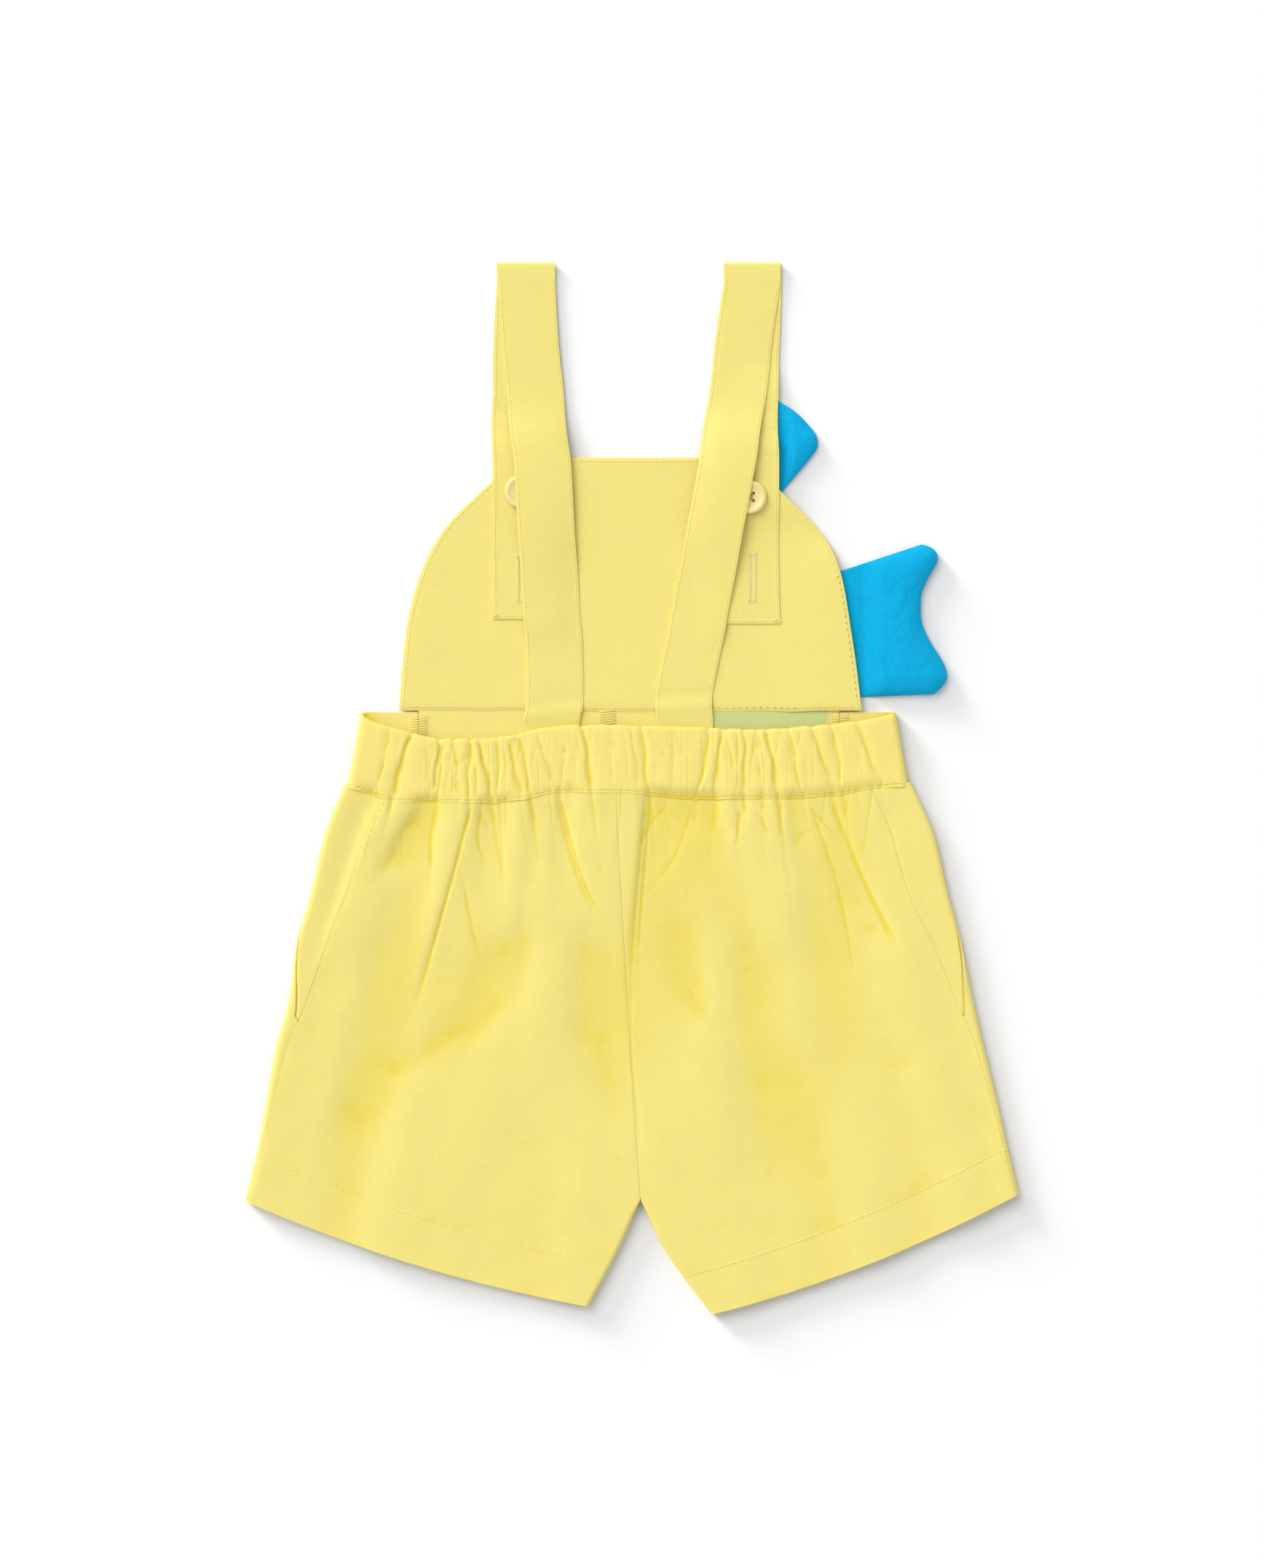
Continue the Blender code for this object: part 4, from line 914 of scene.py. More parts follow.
def strap_support(side, x, y):
    """Height of what lies under the upper run of a strap: the floor, the bib, the lower run or the button."""
    lower = STRAP_RUNS[side][1]
    on_bib = smooth_step((BIB_ROWS[0].y + 5 - y) / 10)
    ground = 0.5 + (LINING_TOP - 0.1) * on_bib - 0.6 * smooth_step((34 - y) / 8)
    inside = STRAP_WIDTH / 2 - np.abs(x - read(lower, "y", "x", y))
    over_run = smooth_step(inside / 14 + 1) * smooth_step((y - lower[-1].y) / 16 + 1)
    run_top = read(lower, "y", "z", y) + STRAP_WALL
    height = ground + (run_top - ground) * over_run
    place = BUTTONS[side]
    near = smooth_step((BUTTON_SPREAD - np.hypot(x - place.x, y - place.y)) / BUTTON_SLOPE)
    return height + (BUTTON_TOP + button_ride(place) - fin_lift(x, y) - height) * near


@lru_cache(maxsize=None)
def strap_grid(side):
    """One strap's middle surface: the upper run, the fold at the top and the lower run."""
    upper, lower = STRAP_RUNS[side]
    middle = strap_middle(upper, lower)
    across = 0.5 * np.sin(np.linspace(-math.pi / 2, math.pi / 2, STRAP_COLUMNS + 1))
    points = np.repeat(middle[:, None, :], len(across), axis=1)
    points[:, :, 0] += across * STRAP_WIDTH
    x = points[..., 0]
    y = points[..., 1]
    inset = STRAP_WIDTH * (0.5 - np.abs(across))
    on_upper = np.arange(len(points))[:, None] < UPPER_RUN_ROWS[side]
    points[..., 2] = np.where(on_upper, strap_support(side, x, y) + STRAP_WALL / 2, points[..., 2])
    points[..., 2] -= STRAP_SINK * smooth_step(points[..., 2] / 0.8 - 1.5)
    points[..., 2] += fin_lift(x, y)
    points[..., 0] += bumps("strap_edge", 0 * x + 3 * np.sign(across), y)
    lift = bumps("strap", x, y)
    lift -= groove(STRAP_GROOVE, inset - STRAP_STITCH_INSET) + STRAP_RIM_DROP * smooth_step(1 - inset / 1.1)
    # Each strap buckles a little where it goes down into the waistband.
    pinch = STRAP_PINCH[side]
    along = y - pinch.y - pinch.slant * (x - middle[0, 0])
    lift = lift + on_upper * (pinch.height * dip(along, 2.4) - 0.5 * pinch.height * dip(along - 5, 2.2))
    lift[:2] = 0
    points[..., 2] += np.where(on_upper, lift, -0.3 * lift)
    return points


def along_run(run, step):
    """Middle line of one run of a strap, at even steps from its first station to its last."""
    first = run[0].y
    last = run[-1].y
    ys = np.linspace(first, last, round(abs(last - first) / step) + 1)
    return np.stack((read(run, "y", "x", ys), ys, read(run, "y", "z", ys) + STRAP_WALL / 2), axis=-1)


def strap_middle(upper, lower):
    """The strap's whole middle line: the upper run, the fold at the top and the lower run."""
    radius = (STRAP_WALL + STRAP_RUN_GAP) / 2
    angles = np.linspace(math.pi / 2, -math.pi / 2, STRAP_FOLD_STEPS + 1)
    x = np.linspace(upper[-1].x, lower[0].x, len(angles))
    y = STRAP_FOLD_Y + radius * np.cos(angles)
    fold = np.stack((x, y, STRAP_WALL / 2 + radius * (1 + np.sin(angles))), axis=-1)
    return np.concatenate([along_run(upper, STRAP_STEP), fold, along_run(lower, STRAP_STEP)])


def hollow(points, passes):
    """How far each point lies below the cloth round it, from 0 to 1: the creases and the seams, where shade
    is painted in.
    """
    height = points[..., 2]
    smooth = height
    for _ in range(passes):
        padded = np.pad(smooth, 1, mode="edge")
        smooth = (padded[:-2, 1:-1] + padded[2:, 1:-1] + padded[1:-1, :-2] + padded[1:-1, 2:]) / 4
    return np.clip((smooth - height - HOLLOW_START) / HOLLOW_DEPTH, 0, 1)


def add_node(tree, kind, settings, values):
    """A node of a type, with its settings made first and then its inputs' values or links."""
    made = tree.nodes.new(kind)
    for name, value in settings.items():
        setattr(made, name, value)
    for name, value in values.items():
        if isinstance(value, bpy.types.NodeSocket):
            tree.links.new(value, made.inputs[name])
        else:
            made.inputs[name].default_value = value
    return made


class Signal:
    """A number that varies over a surface. Arithmetic on it adds Math nodes."""

    def __init__(self, shader, socket):
        self.shader = shader
        self.socket = socket

    def __add__(self, other):
        return self.shader.maths("ADD", self, other)

    def __radd__(self, other):
        return self.shader.maths("ADD", other, self)

    def __sub__(self, other):
        return self.shader.maths("SUBTRACT", self, other)

    def __mul__(self, other):
        return self.shader.maths("MULTIPLY", self, other)

    def __truediv__(self, other):
        return self.shader.maths("DIVIDE", self, other)


# Textures: slubs and broad mottle of the poplin, ribs and stitches of the knit, plies of the thread
NOISE_ROUGHNESS = 0.55
SLUB_WIDTH = 0.42
SLUB_LENGTH = 15.0
MOTTLE_SIZE = 26.0
WALE_PITCH = 0.8
KNIT_STITCH = 0.55
PLY_PITCH = 0.32
PLY_ANGLE = 38.0


class Shader:
    """A material's nodes, written as expressions. Places come in millimetres."""

    def __init__(self, name, roughness):
        self.material = bpy.data.materials.new(name)
        self.material.use_nodes = True
        self.tree = self.material.node_tree
        self.surface = self.tree.nodes["Principled BSDF"]
        self.surface.inputs["Roughness"].default_value = roughness

    def glow(self, weight, radius):
        """Light that soaks into the material and comes out again within a radius in metres."""
        self.surface.inputs["Subsurface Weight"].default_value = weight
        self.surface.inputs["Subsurface Radius"].default_value = radius
        self.surface.inputs["Subsurface Scale"].default_value = 1.0

    def fuzz(self, weight, tint):
        """The faint shine of loose fibres, strongest where the surface turns away."""
        self.surface.inputs["Sheen Weight"].default_value = weight
        self.surface.inputs["Sheen Tint"].default_value = tint

    def node(self, kind, settings, values):
        """A node of any type; a Signal among its values becomes a link."""
        plain = {name: value.socket if isinstance(value, Signal) else value for name, value in values.items()}
        return add_node(self.tree, kind, settings, plain)

    def maths(self, operation, *values):
        made = self.node("ShaderNodeMath", {"operation": operation}, dict(enumerate(values)))
        return Signal(self, made.outputs[0])

    def wave(self, value, pitch):
        """A wave from -1 to 1 that repeats once every pitch."""
        return self.maths("SINE", value * (2 * math.pi / pitch))

    def clamped(self, value):
        made = self.node("ShaderNodeClamp", {}, {"Value": value})
        return Signal(self, made.outputs[0])

    def cut(self):
        """The flat cloth coordinates, across and along, in millimetres."""
        source = self.node("ShaderNodeUVMap", {"uv_map": "cut"}, {})
        parts = self.node("ShaderNodeSeparateXYZ", {}, {"Vector": source.outputs[0]})
        return [Signal(self, parts.outputs[name]) / MM for name in "XY"]

    def place(self, turn=0.0):
        """The place on the object in millimetres, turned about Z by an angle."""
        source = self.node("ShaderNodeTexCoord", {}, {})
        turned = self.node(
            "ShaderNodeMapping", {}, {"Vector": source.outputs["Object"], "Rotation": (0, 0, turn)}
        )
        parts = self.node("ShaderNodeSeparateXYZ", {}, {"Vector": turned.outputs[0]})
        return [Signal(self, parts.outputs[name]) / MM for name in "XYZ"]

    def noise(self, x, y, z=0.0, detail=2.0):
        """Noise of unit size at a place given by three numbers, from 0 to 1."""
        place = self.node("ShaderNodeCombineXYZ", {}, {"X": x, "Y": y, "Z": z})
        values = {"Vector": place.outputs[0], "Scale": 1.0, "Detail": detail, "Roughness": NOISE_ROUGHNESS}
        made = self.node("ShaderNodeTexNoise", {}, values)
        return Signal(self, made.outputs[0])

    def attribute(self, name):
        made = self.node("ShaderNodeAttribute", {"attribute_name": name}, {})
        return Signal(self, made.outputs["Fac"])

    def mix(self, share, first, second):
        """A colour between two others, each a colour or the Signal of one."""
        made = self.node("ShaderNodeMix", {"data_type": "RGBA"}, {0: share, 6: first, 7: second})
        return Signal(self, made.outputs[2])

    def shade(self, colour, amount):
        """A colour made lighter or darker by an amount that varies."""
        made = self.node("ShaderNodeVectorMath", {"operation": "SCALE"}, {"Vector": colour, "Scale": amount})
        return Signal(self, made.outputs[0])

    def finish(self, colour, height, depth, strength):
        """Colours the surface and raises its texture, whose full height is a depth in millimetres."""
        self.tree.links.new(colour.socket, self.surface.inputs["Base Color"])
        values = {"Height": height, "Distance": depth * MM, "Strength": strength}
        bump = self.node("ShaderNodeBump", {}, values)
        self.tree.links.new(bump.outputs[0], self.surface.inputs["Normal"])
        return self.material


def poplin(name, looks, inside=False):
    """Plain-weave cotton with uneven threads, painted deeper in colour where it is creased, as shade."""
    shader = Shader(name, 0.86)
    shader.surface.inputs["Specular IOR Level"].default_value = 0.2
    shader.glow(0.35, (0.0014, 0.0011, 0.0004))
    across, along = shader.cut()
    pitch = looks.weave_pitch / MM
    warp = shader.noise(across / SLUB_WIDTH, along / SLUB_LENGTH)
    weft = shader.noise(across / SLUB_LENGTH, along / SLUB_WIDTH)
    slubs = warp * 0.5 + weft * 0.5
    mottle = shader.noise(across / MOTTLE_SIZE, along / MOTTLE_SIZE)
    ribs = shader.wave(across, pitch) * shader.wave(along, pitch)
    height = slubs + ribs * 0.22
    crease = shader.clamped(shader.attribute("crease"))
    # The creased cloth's deeper colour is painted shade, mixed in by the crease mask.
    ground = shader.mix(crease, tuple(looks.cloth), tuple(looks.crease_shade_colour))
    if inside:
        tint = shader.clamped(shader.attribute("tint"))
        ground = shader.mix(tint, ground, tuple(looks.inside_tint))
    tone = 1.0 + (slubs - 0.5) * 0.22 + (mottle - 0.5) * 0.05
    return shader.finish(shader.shade(ground, tone), height, 0.16, 0.35)


def rib_knit(name, looks, wale):
    """Fine rib knit: wales that slant by an angle in degrees, with small stitches along them."""
    shader = Shader(name, 0.82)
    shader.surface.inputs["Specular IOR Level"].default_value = 0.15
    across, along, _ = shader.place(math.radians(90 - wale))
    wander = shader.noise(across / 12, along / 12) * 1.6
    wales = shader.wave(across + wander, WALE_PITCH) * 0.5 + 0.5
    stitches = shader.wave(along + wander, KNIT_STITCH) * 0.5 + 0.5
    fuzz = shader.noise(across / 0.5, along / 0.9)
    streaks = shader.noise(across / 1.1, along / 14)
    mottle = shader.noise(across / 5, along / 2.2)
    height = wales * 0.7 + stitches * wales * 0.25 + fuzz * 0.3
    # Painted shade and highlight: the tone follows the wales and stitches, lighter on their crests and darker
    # between them; the fuzz, streaks and mottle are the yarn's uneven tone.
    tone = 0.79 + wales * 0.26 + stitches * 0.1 + (fuzz - 0.5) * 0.4
    tone = tone + (streaks - 0.5) * 0.2 + (mottle - 0.5) * 0.2
    return shader.finish(shader.shade(tuple(looks.knit[:3]), tone), height, 0.25, 0.6)


def resin(name, looks):
    """Pale translucent button resin, clouded through."""
    shader = Shader(name, 0.28)
    shader.surface.inputs["Coat Weight"].default_value = 0.35
    shader.surface.inputs["Coat Roughness"].default_value = 0.15
    shader.glow(0.4, (0.002, 0.0016, 0.0008))
    x, y, z = shader.place()
    clouds = shader.noise(x / 3.2, y / 3.2, z / 3.2, 4.0)
    grain = shader.noise(x / 0.5, y / 0.5, z / 0.5)
    colour = shader.mix(clouds, tuple(looks.button), tuple(looks.button_deep))
    return shader.finish(colour, clouds + grain * 0.2, 0.05, 0.2)


def thread(name, colour):
    """Sewing thread: a twist of plies along it."""
    shader = Shader(name, 0.7)
    shader.glow(0.5, (0.0008, 0.0006, 0.0003))
    shader.fuzz(0.6, tuple(colour))
    x, y, z = shader.place(math.radians(PLY_ANGLE))
    plies = shader.wave(x + z, PLY_PITCH) * 0.5 + 0.5
    fibres = shader.noise(x / 0.2, y / 0.2, z / 0.2)
    # Painted shade: the plies are a little lighter on their crests than in the twist between them; the fibres
    # are uneven tone.
    tone = 0.97 + plies * 0.06 + (fibres - 0.5) * 0.1
    return shader.finish(shader.shade(tuple(colour[:3]), tone), plies, 0.06, 0.4)


def floor_finish():
    """A plain matt white board, very slightly uneven."""
    shader = Shader("white board", 0.9)
    x, y, _ = shader.place()
    fibre = shader.noise(x / 3, y / 3)
    colour = shader.mix(fibre, (0.785, 0.785, 0.785, 1), (0.80, 0.80, 0.80, 1))
    return shader.finish(colour, fibre, 0.02, 0.05)


def placed(mesh, name):
    """A new object for a mesh whose place is already in its points."""
    piece = bpy.data.objects.new(name, mesh)
    bpy.context.scene.collection.objects.link(piece)
    return piece


def points_in_metres(points):
    """A grid's points in a row, in the frame's metres."""
    return (points.reshape(-1, 3) + (CENTRE_SHIFT, 0, 0)) * MM


def quads_of(index):
    """The faces between a grid's neighbouring rows and columns."""
    corners = (index[:-1, :-1], index[:-1, 1:], index[1:, 1:], index[1:, :-1])
    return np.stack(corners, axis=-1).reshape(-1, 4)


def cloth_piece(name, points, wall, finish, passes=0, deep=0, tint=0, offset=-1):
    """A sheet of cloth on a grid of points, with its flat coordinates, its masks, its wall and a soft rim.

    `passes` is how far round itself the cloth looks for creases to paint shade into, `deep` adds painted
    shade to that mask and `tint` is the mask of the inside's second colour.
    """
    rows, columns = points.shape[:2]
    faces = quads_of(np.arange(rows * columns).reshape(rows, columns))
    mesh = bpy.data.meshes.new(name)
    mesh.from_pydata(points_in_metres(points).tolist(), [], faces.tolist())
    corners = np.zeros(len(mesh.loops), int)
    mesh.loops.foreach_get("vertex_index", corners)
    flat = cut_of(points).reshape(-1, 2)[corners] * MM
    mesh.uv_layers.new(name="cut").data.foreach_set("uv", flat.ravel())
    # The crease mask paints shade: deeper colour where the cloth lies below the cloth round it.
    for label, mask in (("crease", hollow(points, passes) + deep), ("tint", tint)):
        layer = mesh.attributes.new(label, "FLOAT", "POINT")
        layer.data.foreach_set("value", np.broadcast_to(mask, (rows, columns)).ravel().astype(np.float32))
    mesh.shade_smooth()
    mesh.materials.append(finish)
    piece = placed(mesh, name)
    solid = piece.modifiers.new("wall", "SOLIDIFY")
    solid.thickness = wall * MM
    solid.offset = offset
    solid.use_even_offset = True
    rim = piece.modifiers.new("rim", "BEVEL")
    rim.width = RIM_RADIUS * MM
    rim.segments = 2
    rim.limit_method = "ANGLE"
    rim.angle_limit = math.radians(RIM_ANGLE)
    rim.harden_normals = True
    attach(piece, BODY)
    return piece


def as_sheet(piece, cut, nodes):
    """Hides the solids that a finished piece of cloth stands for, and gives back the piece."""
    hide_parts(*nodes)
    cut.width * MM
    cut.share * cut.width * cut.length * MM * MM
    return piece


def polyline_host(name, paths):
    """A mesh of open lines, the paths that a tree of Geometry Nodes follows."""
    points = np.concatenate(paths)
    starts = np.cumsum([0] + [len(path) for path in paths])
    edges = [(i, i + 1) for low, high in zip(starts, starts[1:]) for i in range(low, high - 1)]
    mesh = bpy.data.meshes.new(name)
    mesh.from_pydata(points_in_metres(points).tolist(), edges, [])
    return placed(mesh, name)


def new_tree(name, sizes):
    """An empty tree of Geometry Nodes with named lengths and a material as its inputs."""
    tree = bpy.data.node_groups.new(name, "GeometryNodeTree")
    tree.interface.new_socket("Geometry", in_out="INPUT", socket_type="NodeSocketGeometry")
    for label in sizes:
        socket = tree.interface.new_socket(label, in_out="INPUT", socket_type="NodeSocketFloat")
        socket.subtype = "DISTANCE"
    tree.interface.new_socket("Thread", in_out="INPUT", socket_type="NodeSocketMaterial")
    tree.interface.new_socket("Geometry", in_out="OUTPUT", socket_type="NodeSocketGeometry")
    return tree


def running_stitches():
    """Stitches of one length set out along each path, a pitch apart."""
    tree = new_tree("running stitches", ("Pitch", "Stitch Length", "Thread Radius"))
    given = tree.nodes.new("NodeGroupInput").outputs
    curves = add_node(tree, "GeometryNodeMeshToCurve", {}, {"Mesh": given["Geometry"]})
    spacing = {"Curve": curves.outputs[0], "Length": given["Pitch"]}
    places = add_node(tree, "GeometryNodeCurveToPoints", {"mode": "LENGTH"}, spacing)
    half = add_node(tree, "ShaderNodeMath", {"operation": "MULTIPLY"}, {0: given["Stitch Length"], 1: 0.5})
    radii = {"X": given["Thread Radius"], "Y": given["Thread Radius"], "Z": half.outputs[0]}
    size = add_node(tree, "ShaderNodeCombineXYZ", {}, radii)
    stitch = add_node(tree, "GeometryNodeMeshUVSphere", {}, {"Segments": 7, "Rings": 6, "Radius": 1.0})
    layout = {
        "Points": places.outputs["Points"],
        "Instance": stitch.outputs[0],
        "Rotation": places.outputs["Rotation"],
        "Scale": size.outputs[0],
    }
    set_out = add_node(tree, "GeometryNodeInstanceOnPoints", {}, layout)
    return finish_tree(tree, set_out.outputs[0], given["Thread"])


def laid_threads():
    """A round thread laid along each whole path."""
    tree = new_tree("laid threads", ("Thread Radius",))
    given = tree.nodes.new("NodeGroupInput").outputs
    curves = add_node(tree, "GeometryNodeMeshToCurve", {}, {"Mesh": given["Geometry"]})
    size = {"Resolution": 6, "Radius": given["Thread Radius"]}
    ring = add_node(tree, "GeometryNodeCurvePrimitiveCircle", {}, size)
    sweep = {"Curve": curves.outputs[0], "Profile Curve": ring.outputs[0], "Fill Caps": True}
    tube = add_node(tree, "GeometryNodeCurveToMesh", {}, sweep)
    return finish_tree(tree, tube.outputs[0], given["Thread"])


def finish_tree(tree, geometry, finish):
    """The end of a tree: real geometry, smooth and in its material."""
    real = add_node(tree, "GeometryNodeRealizeInstances", {}, {"Geometry": geometry})
    smooth = add_node(tree, "GeometryNodeSetShadeSmooth", {}, {"Geometry": real.outputs[0]})
    look = {"Geometry": smooth.outputs[0], "Material": finish}
    coloured = add_node(tree, "GeometryNodeSetMaterial", {}, look)
    add_node(tree, "NodeGroupOutput", {}, {"Geometry": coloured.outputs[0]})
    return tree


TREES = {"running stitches": running_stitches, "laid threads": laid_threads}


def sewn(name, kind, paths, finish, **sizes):
    """A plain mesh of thread, made along the paths by a tree of Geometry Nodes."""
    host = polyline_host(name + "_path", paths)
    modifier = host.modifiers.new("threads", "NODES")
    tree = bpy.data.node_groups.get(kind) or TREES[kind]()
    modifier.node_group = tree
    wanted = {label.replace("_", " ").title(): value for label, value in sizes.items()}
    wanted["Thread"] = finish
    for item in tree.interface.items_tree:
        if item.item_type == "SOCKET" and item.in_out == "INPUT" and item.name in wanted:
            modifier[item.identifier] = wanted[item.name]
    graph = bpy.context.evaluated_depsgraph_get()
    mesh = bpy.data.meshes.new_from_object(host.evaluated_get(graph))
    bpy.data.objects.remove(host)
    mesh.name = name
    piece = placed(mesh, name)
    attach(piece, BODY)
    return piece


def across_fin(fin, name, alongs, outs):
    """One coordinate of a fin's grid, from its root to its free edge."""
    root = read(fin.root, "along", name, alongs)
    return root + (read(fin.edge, "along", name, alongs) - root) * outs


def fin_grid(fin):
    """A fin's plan, its height above the floor and how far each point is from the free outline."""
    alongs = np.linspace(0, 1, fin.alongs + 1)[:, None]
    outs = np.linspace(0, 1, fin.outs + 1)
    x, y = (eased(across_fin(fin, name, alongs, outs)) for name in "xy")
    plan = np.stack((x, y), -1)
    rim = np.concatenate([plan[0], plan[:, -1], plan[-1]])
    near = np.full(x.shape, np.inf)
    for point in rim:
        near = np.minimum(near, np.hypot(x - point[0], y - point[1]))
    return x, y, near


def eased(values):
    """The values down each column with their corners rounded."""
    for _ in range(FIN_EASING):
        inner = (values[:-2] + values[2:]) / 4 + values[1:-1] / 2
        values = np.concatenate([values[:1], inner, values[-1:]])
    return values


def fin_mesh(fin):
    """A padded fin: a domed top and a flatter underside that share the seam round the free edge."""
    x, y, near = fin_grid(fin)
    dome = np.sqrt(1 - (1 - np.clip(near / FIN_DOME_REACH, 0, 1)) ** 2)
    past_root = smooth_step((x - fin.swell_x) / fin.swell_run)
    top = FIN_RIM / 2 + (fin.thickness - FIN_RIM / 2 + bumps("fin", x, y)) * dome
    top = FIN_ROOT_THICKNESS + (top - FIN_ROOT_THICKNESS) * past_root
    turn_up = (FIN_RIM / 2 - FLOOR_CLEARANCE) * (1 - smooth_step(near / FIN_TURN_UP)) * past_root
    below = FLOOR_CLEARANCE + turn_up
    rows, columns = x.shape
    index = np.arange(rows * columns).reshape(rows, columns)
    under = index + rows * columns
    on_rim = np.zeros(x.shape, bool)
    on_rim[0] = on_rim[-1] = True
    on_rim[:, 0] = on_rim[:, -1] = True
    under[on_rim] = index[on_rim]
    top[on_rim] = np.where(past_root[on_rim] > 0.5, FIN_RIM / 2, FIN_ROOT_THICKNESS / 2)
    faces = np.concatenate([quads_of(index)[:, ::-1], quads_of(under)])
    points = np.concatenate([np.stack((x, y, z), -1).reshape(-1, 3) for z in (top, below)])
    return points, faces


def drop_loose(mesh):
    """Takes out the points that no face uses."""
    form = bmesh.new()
    form.from_mesh(mesh)
    bmesh.ops.delete(form, geom=[vert for vert in form.verts if not vert.link_faces], context="VERTS")
    form.to_mesh(mesh)
    form.free()


def coordinates(mesh):
    """A mesh's points as rows of three."""
    flat = np.empty(len(mesh.vertices) * 3)
    mesh.vertices.foreach_get("co", flat)
    return flat.reshape(-1, 3)


def fill(piece, root_x):
    """Puffs a pad up from inside with a short cloth simulation.

    Its root is held, and no point moves further than a cap.
    """
    start = coordinates(piece.data)
    held = piece.vertex_groups.new(name="held")
    held.add([int(i) for i in np.flatnonzero(start[:, 0] < root_x * MM)], 1.0, "REPLACE")
    cloth = piece.modifiers.new("cloth", "CLOTH")
    cloth.settings.use_pressure = True
    cloth.settings.uniform_pressure_force = FILL_PRESSURE
    cloth.settings.vertex_group_mass = held.name
    cloth.settings.mass = FILL_MASS
    cloth.settings.effector_weights.gravity = 0
    for number in range(1, FILL_FRAMES + 1):
        bpy.context.scene.frame_set(number)
    graph = bpy.context.evaluated_depsgraph_get()
    moved = piece.evaluated_get(graph).to_mesh()
    step = coordinates(moved) - start
    piece.modifiers.remove(cloth)
    reach = np.linalg.norm(step, axis=1, keepdims=True)
    step *= np.minimum(1, FILL_CAP * MM / np.maximum(reach, 1e-9))
    end = start + step
    end[:, 2] = np.maximum(end[:, 2], FILL_FLOOR * MM)
    piece.data.vertices.foreach_set("co", end.ravel())
    piece.vertex_groups.clear()
    bpy.context.scene.frame_set(1)


def build_fin(fin, looks):
    """One padded fin of rib knit."""
    points, faces = fin_mesh(fin)
    mesh = bpy.data.meshes.new(fin.name + "_knit")
    mesh.from_pydata(points_in_metres(points).tolist(), [], faces.tolist())
    drop_loose(mesh)
    mesh.shade_smooth()
    mesh.materials.append(rib_knit(fin.name + "_knit", looks, fin.wale))
    piece = placed(mesh, fin.name + "_knit")
    fill(piece, fin.swell_x)
    finer = piece.modifiers.new("finer", "SUBSURF")
    finer.levels = 1
    finer.render_levels = 1
    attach(piece, BODY)
    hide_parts(fin.name)
    return piece


def lathe(name, profile, steps, centre):
    """A round solid turned about Z from a profile that starts and ends on the axis."""
    inner = profile[1:-1]
    angles = np.linspace(0, 2 * math.pi, steps, endpoint=False)
    rings = [np.stack((p.r * np.cos(angles), p.r * np.sin(angles), np.full(steps, p.z)), -1) for p in inner]
    points = np.concatenate(rings + [np.array([(0, 0, profile[0].z), (0, 0, profile[-1].z)])])
    index = np.arange(len(inner) * steps).reshape(len(inner), steps)
    index = np.concatenate([index, index[:, :1]], axis=1)
    faces = quads_of(index)[:, ::-1].tolist()
    top, bottom = len(points) - 2, len(points) - 1
    faces += [(top, a, b) for a, b in zip(index[0], index[0, 1:])]
    faces += [(bottom, b, a) for a, b in zip(index[-1], index[-1, 1:])]
    mesh = bpy.data.meshes.new(name)
    faces = [tuple(map(int, face)) for face in faces]
    mesh.from_pydata(points_in_metres(points + centre).tolist(), [], faces)
    return placed(mesh, name)


def hole_places(place):
    """The middles of a button's four holes, going round."""
    return [
        (place.x + HOLE_OFFSET * across, place.y + HOLE_OFFSET * along)
        for across, along in ((1, 1), (-1, 1), (-1, -1), (1, -1))
    ]


def button_base(place):
    """Height of a button's back, over the cloth that it lies on."""
    return BUTTON_LIFT + button_ride(place)


def build_button(side, looks):
    """A round four-hole button with a dished face."""
    place = BUTTONS[side]
    base = button_base(place)
    scale = looks.button_radius / MM / max(point.r for point in BUTTON_PROFILE)
    profile = [ProfilePoint(point.r * scale, point.z) for point in BUTTON_PROFILE]
    body = lathe(f"button_{side}_blank", profile, BUTTON_STEPS, (place.x, place.y, base))
    drills = [
        lathe(f"button_{side}_drill", DRILL_PROFILE, HOLE_SIDES, (x, y, base)) for x, y in hole_places(place)
    ]
    for drill in drills:
        cut = body.modifiers.new("hole", "BOOLEAN")
        cut.operation = "DIFFERENCE"
        cut.solver = "EXACT"
        cut.object = drill
    graph = bpy.context.evaluated_depsgraph_get()
    mesh = bpy.data.meshes.new_from_object(body.evaluated_get(graph))
    for helper in [body, *drills]:
        bpy.data.objects.remove(helper)
    mesh.name = f"button_{side}_resin"
    mesh.shade_smooth()
    mesh.set_sharp_from_angle(angle=math.radians(45))
    mesh.materials.clear()
    mesh.materials.append(resin(f"button_{side}_resin", looks))
    piece = placed(mesh, f"button_{side}_resin")
    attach(piece, BODY)
    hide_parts(f"button_{side}")
    return piece


def sampled(points, rows, columns):
    """Places on a grid at fractional rows and columns."""
    rows = np.clip(rows, 0, points.shape[0] - 1.001)
    columns = np.clip(columns, 0, points.shape[1] - 1.001)
    row = rows.astype(int)
    column = columns.astype(int)
    up = (rows - row)[:, None]
    across = (columns - column)[:, None]
    low = points[row, column] * (1 - across) + points[row, column + 1] * across
    high = points[row + 1, column] * (1 - across) + points[row + 1, column + 1] * across
    return low * (1 - up) + high * up


def line_down(points, inset, from_left, lift, first=0, last=None):
    """A line down a grid at one distance from its left or right edge, a lift above it."""
    raised = proud(points, np.full(points.shape[:2], lift))
    from_edge = cut_of(points)[..., 0]
    count = points.shape[1]
    last = len(points) if last is None else last
    rows = np.arange(first, last)
    if from_left:
        columns = [np.interp(inset, from_edge[row], np.arange(count)) for row in rows]
    else:
        columns = [np.interp(from_edge[row, -1] - inset, from_edge[row], np.arange(count)) for row in rows]
    return sampled(raised, rows.astype(float), np.array(columns))


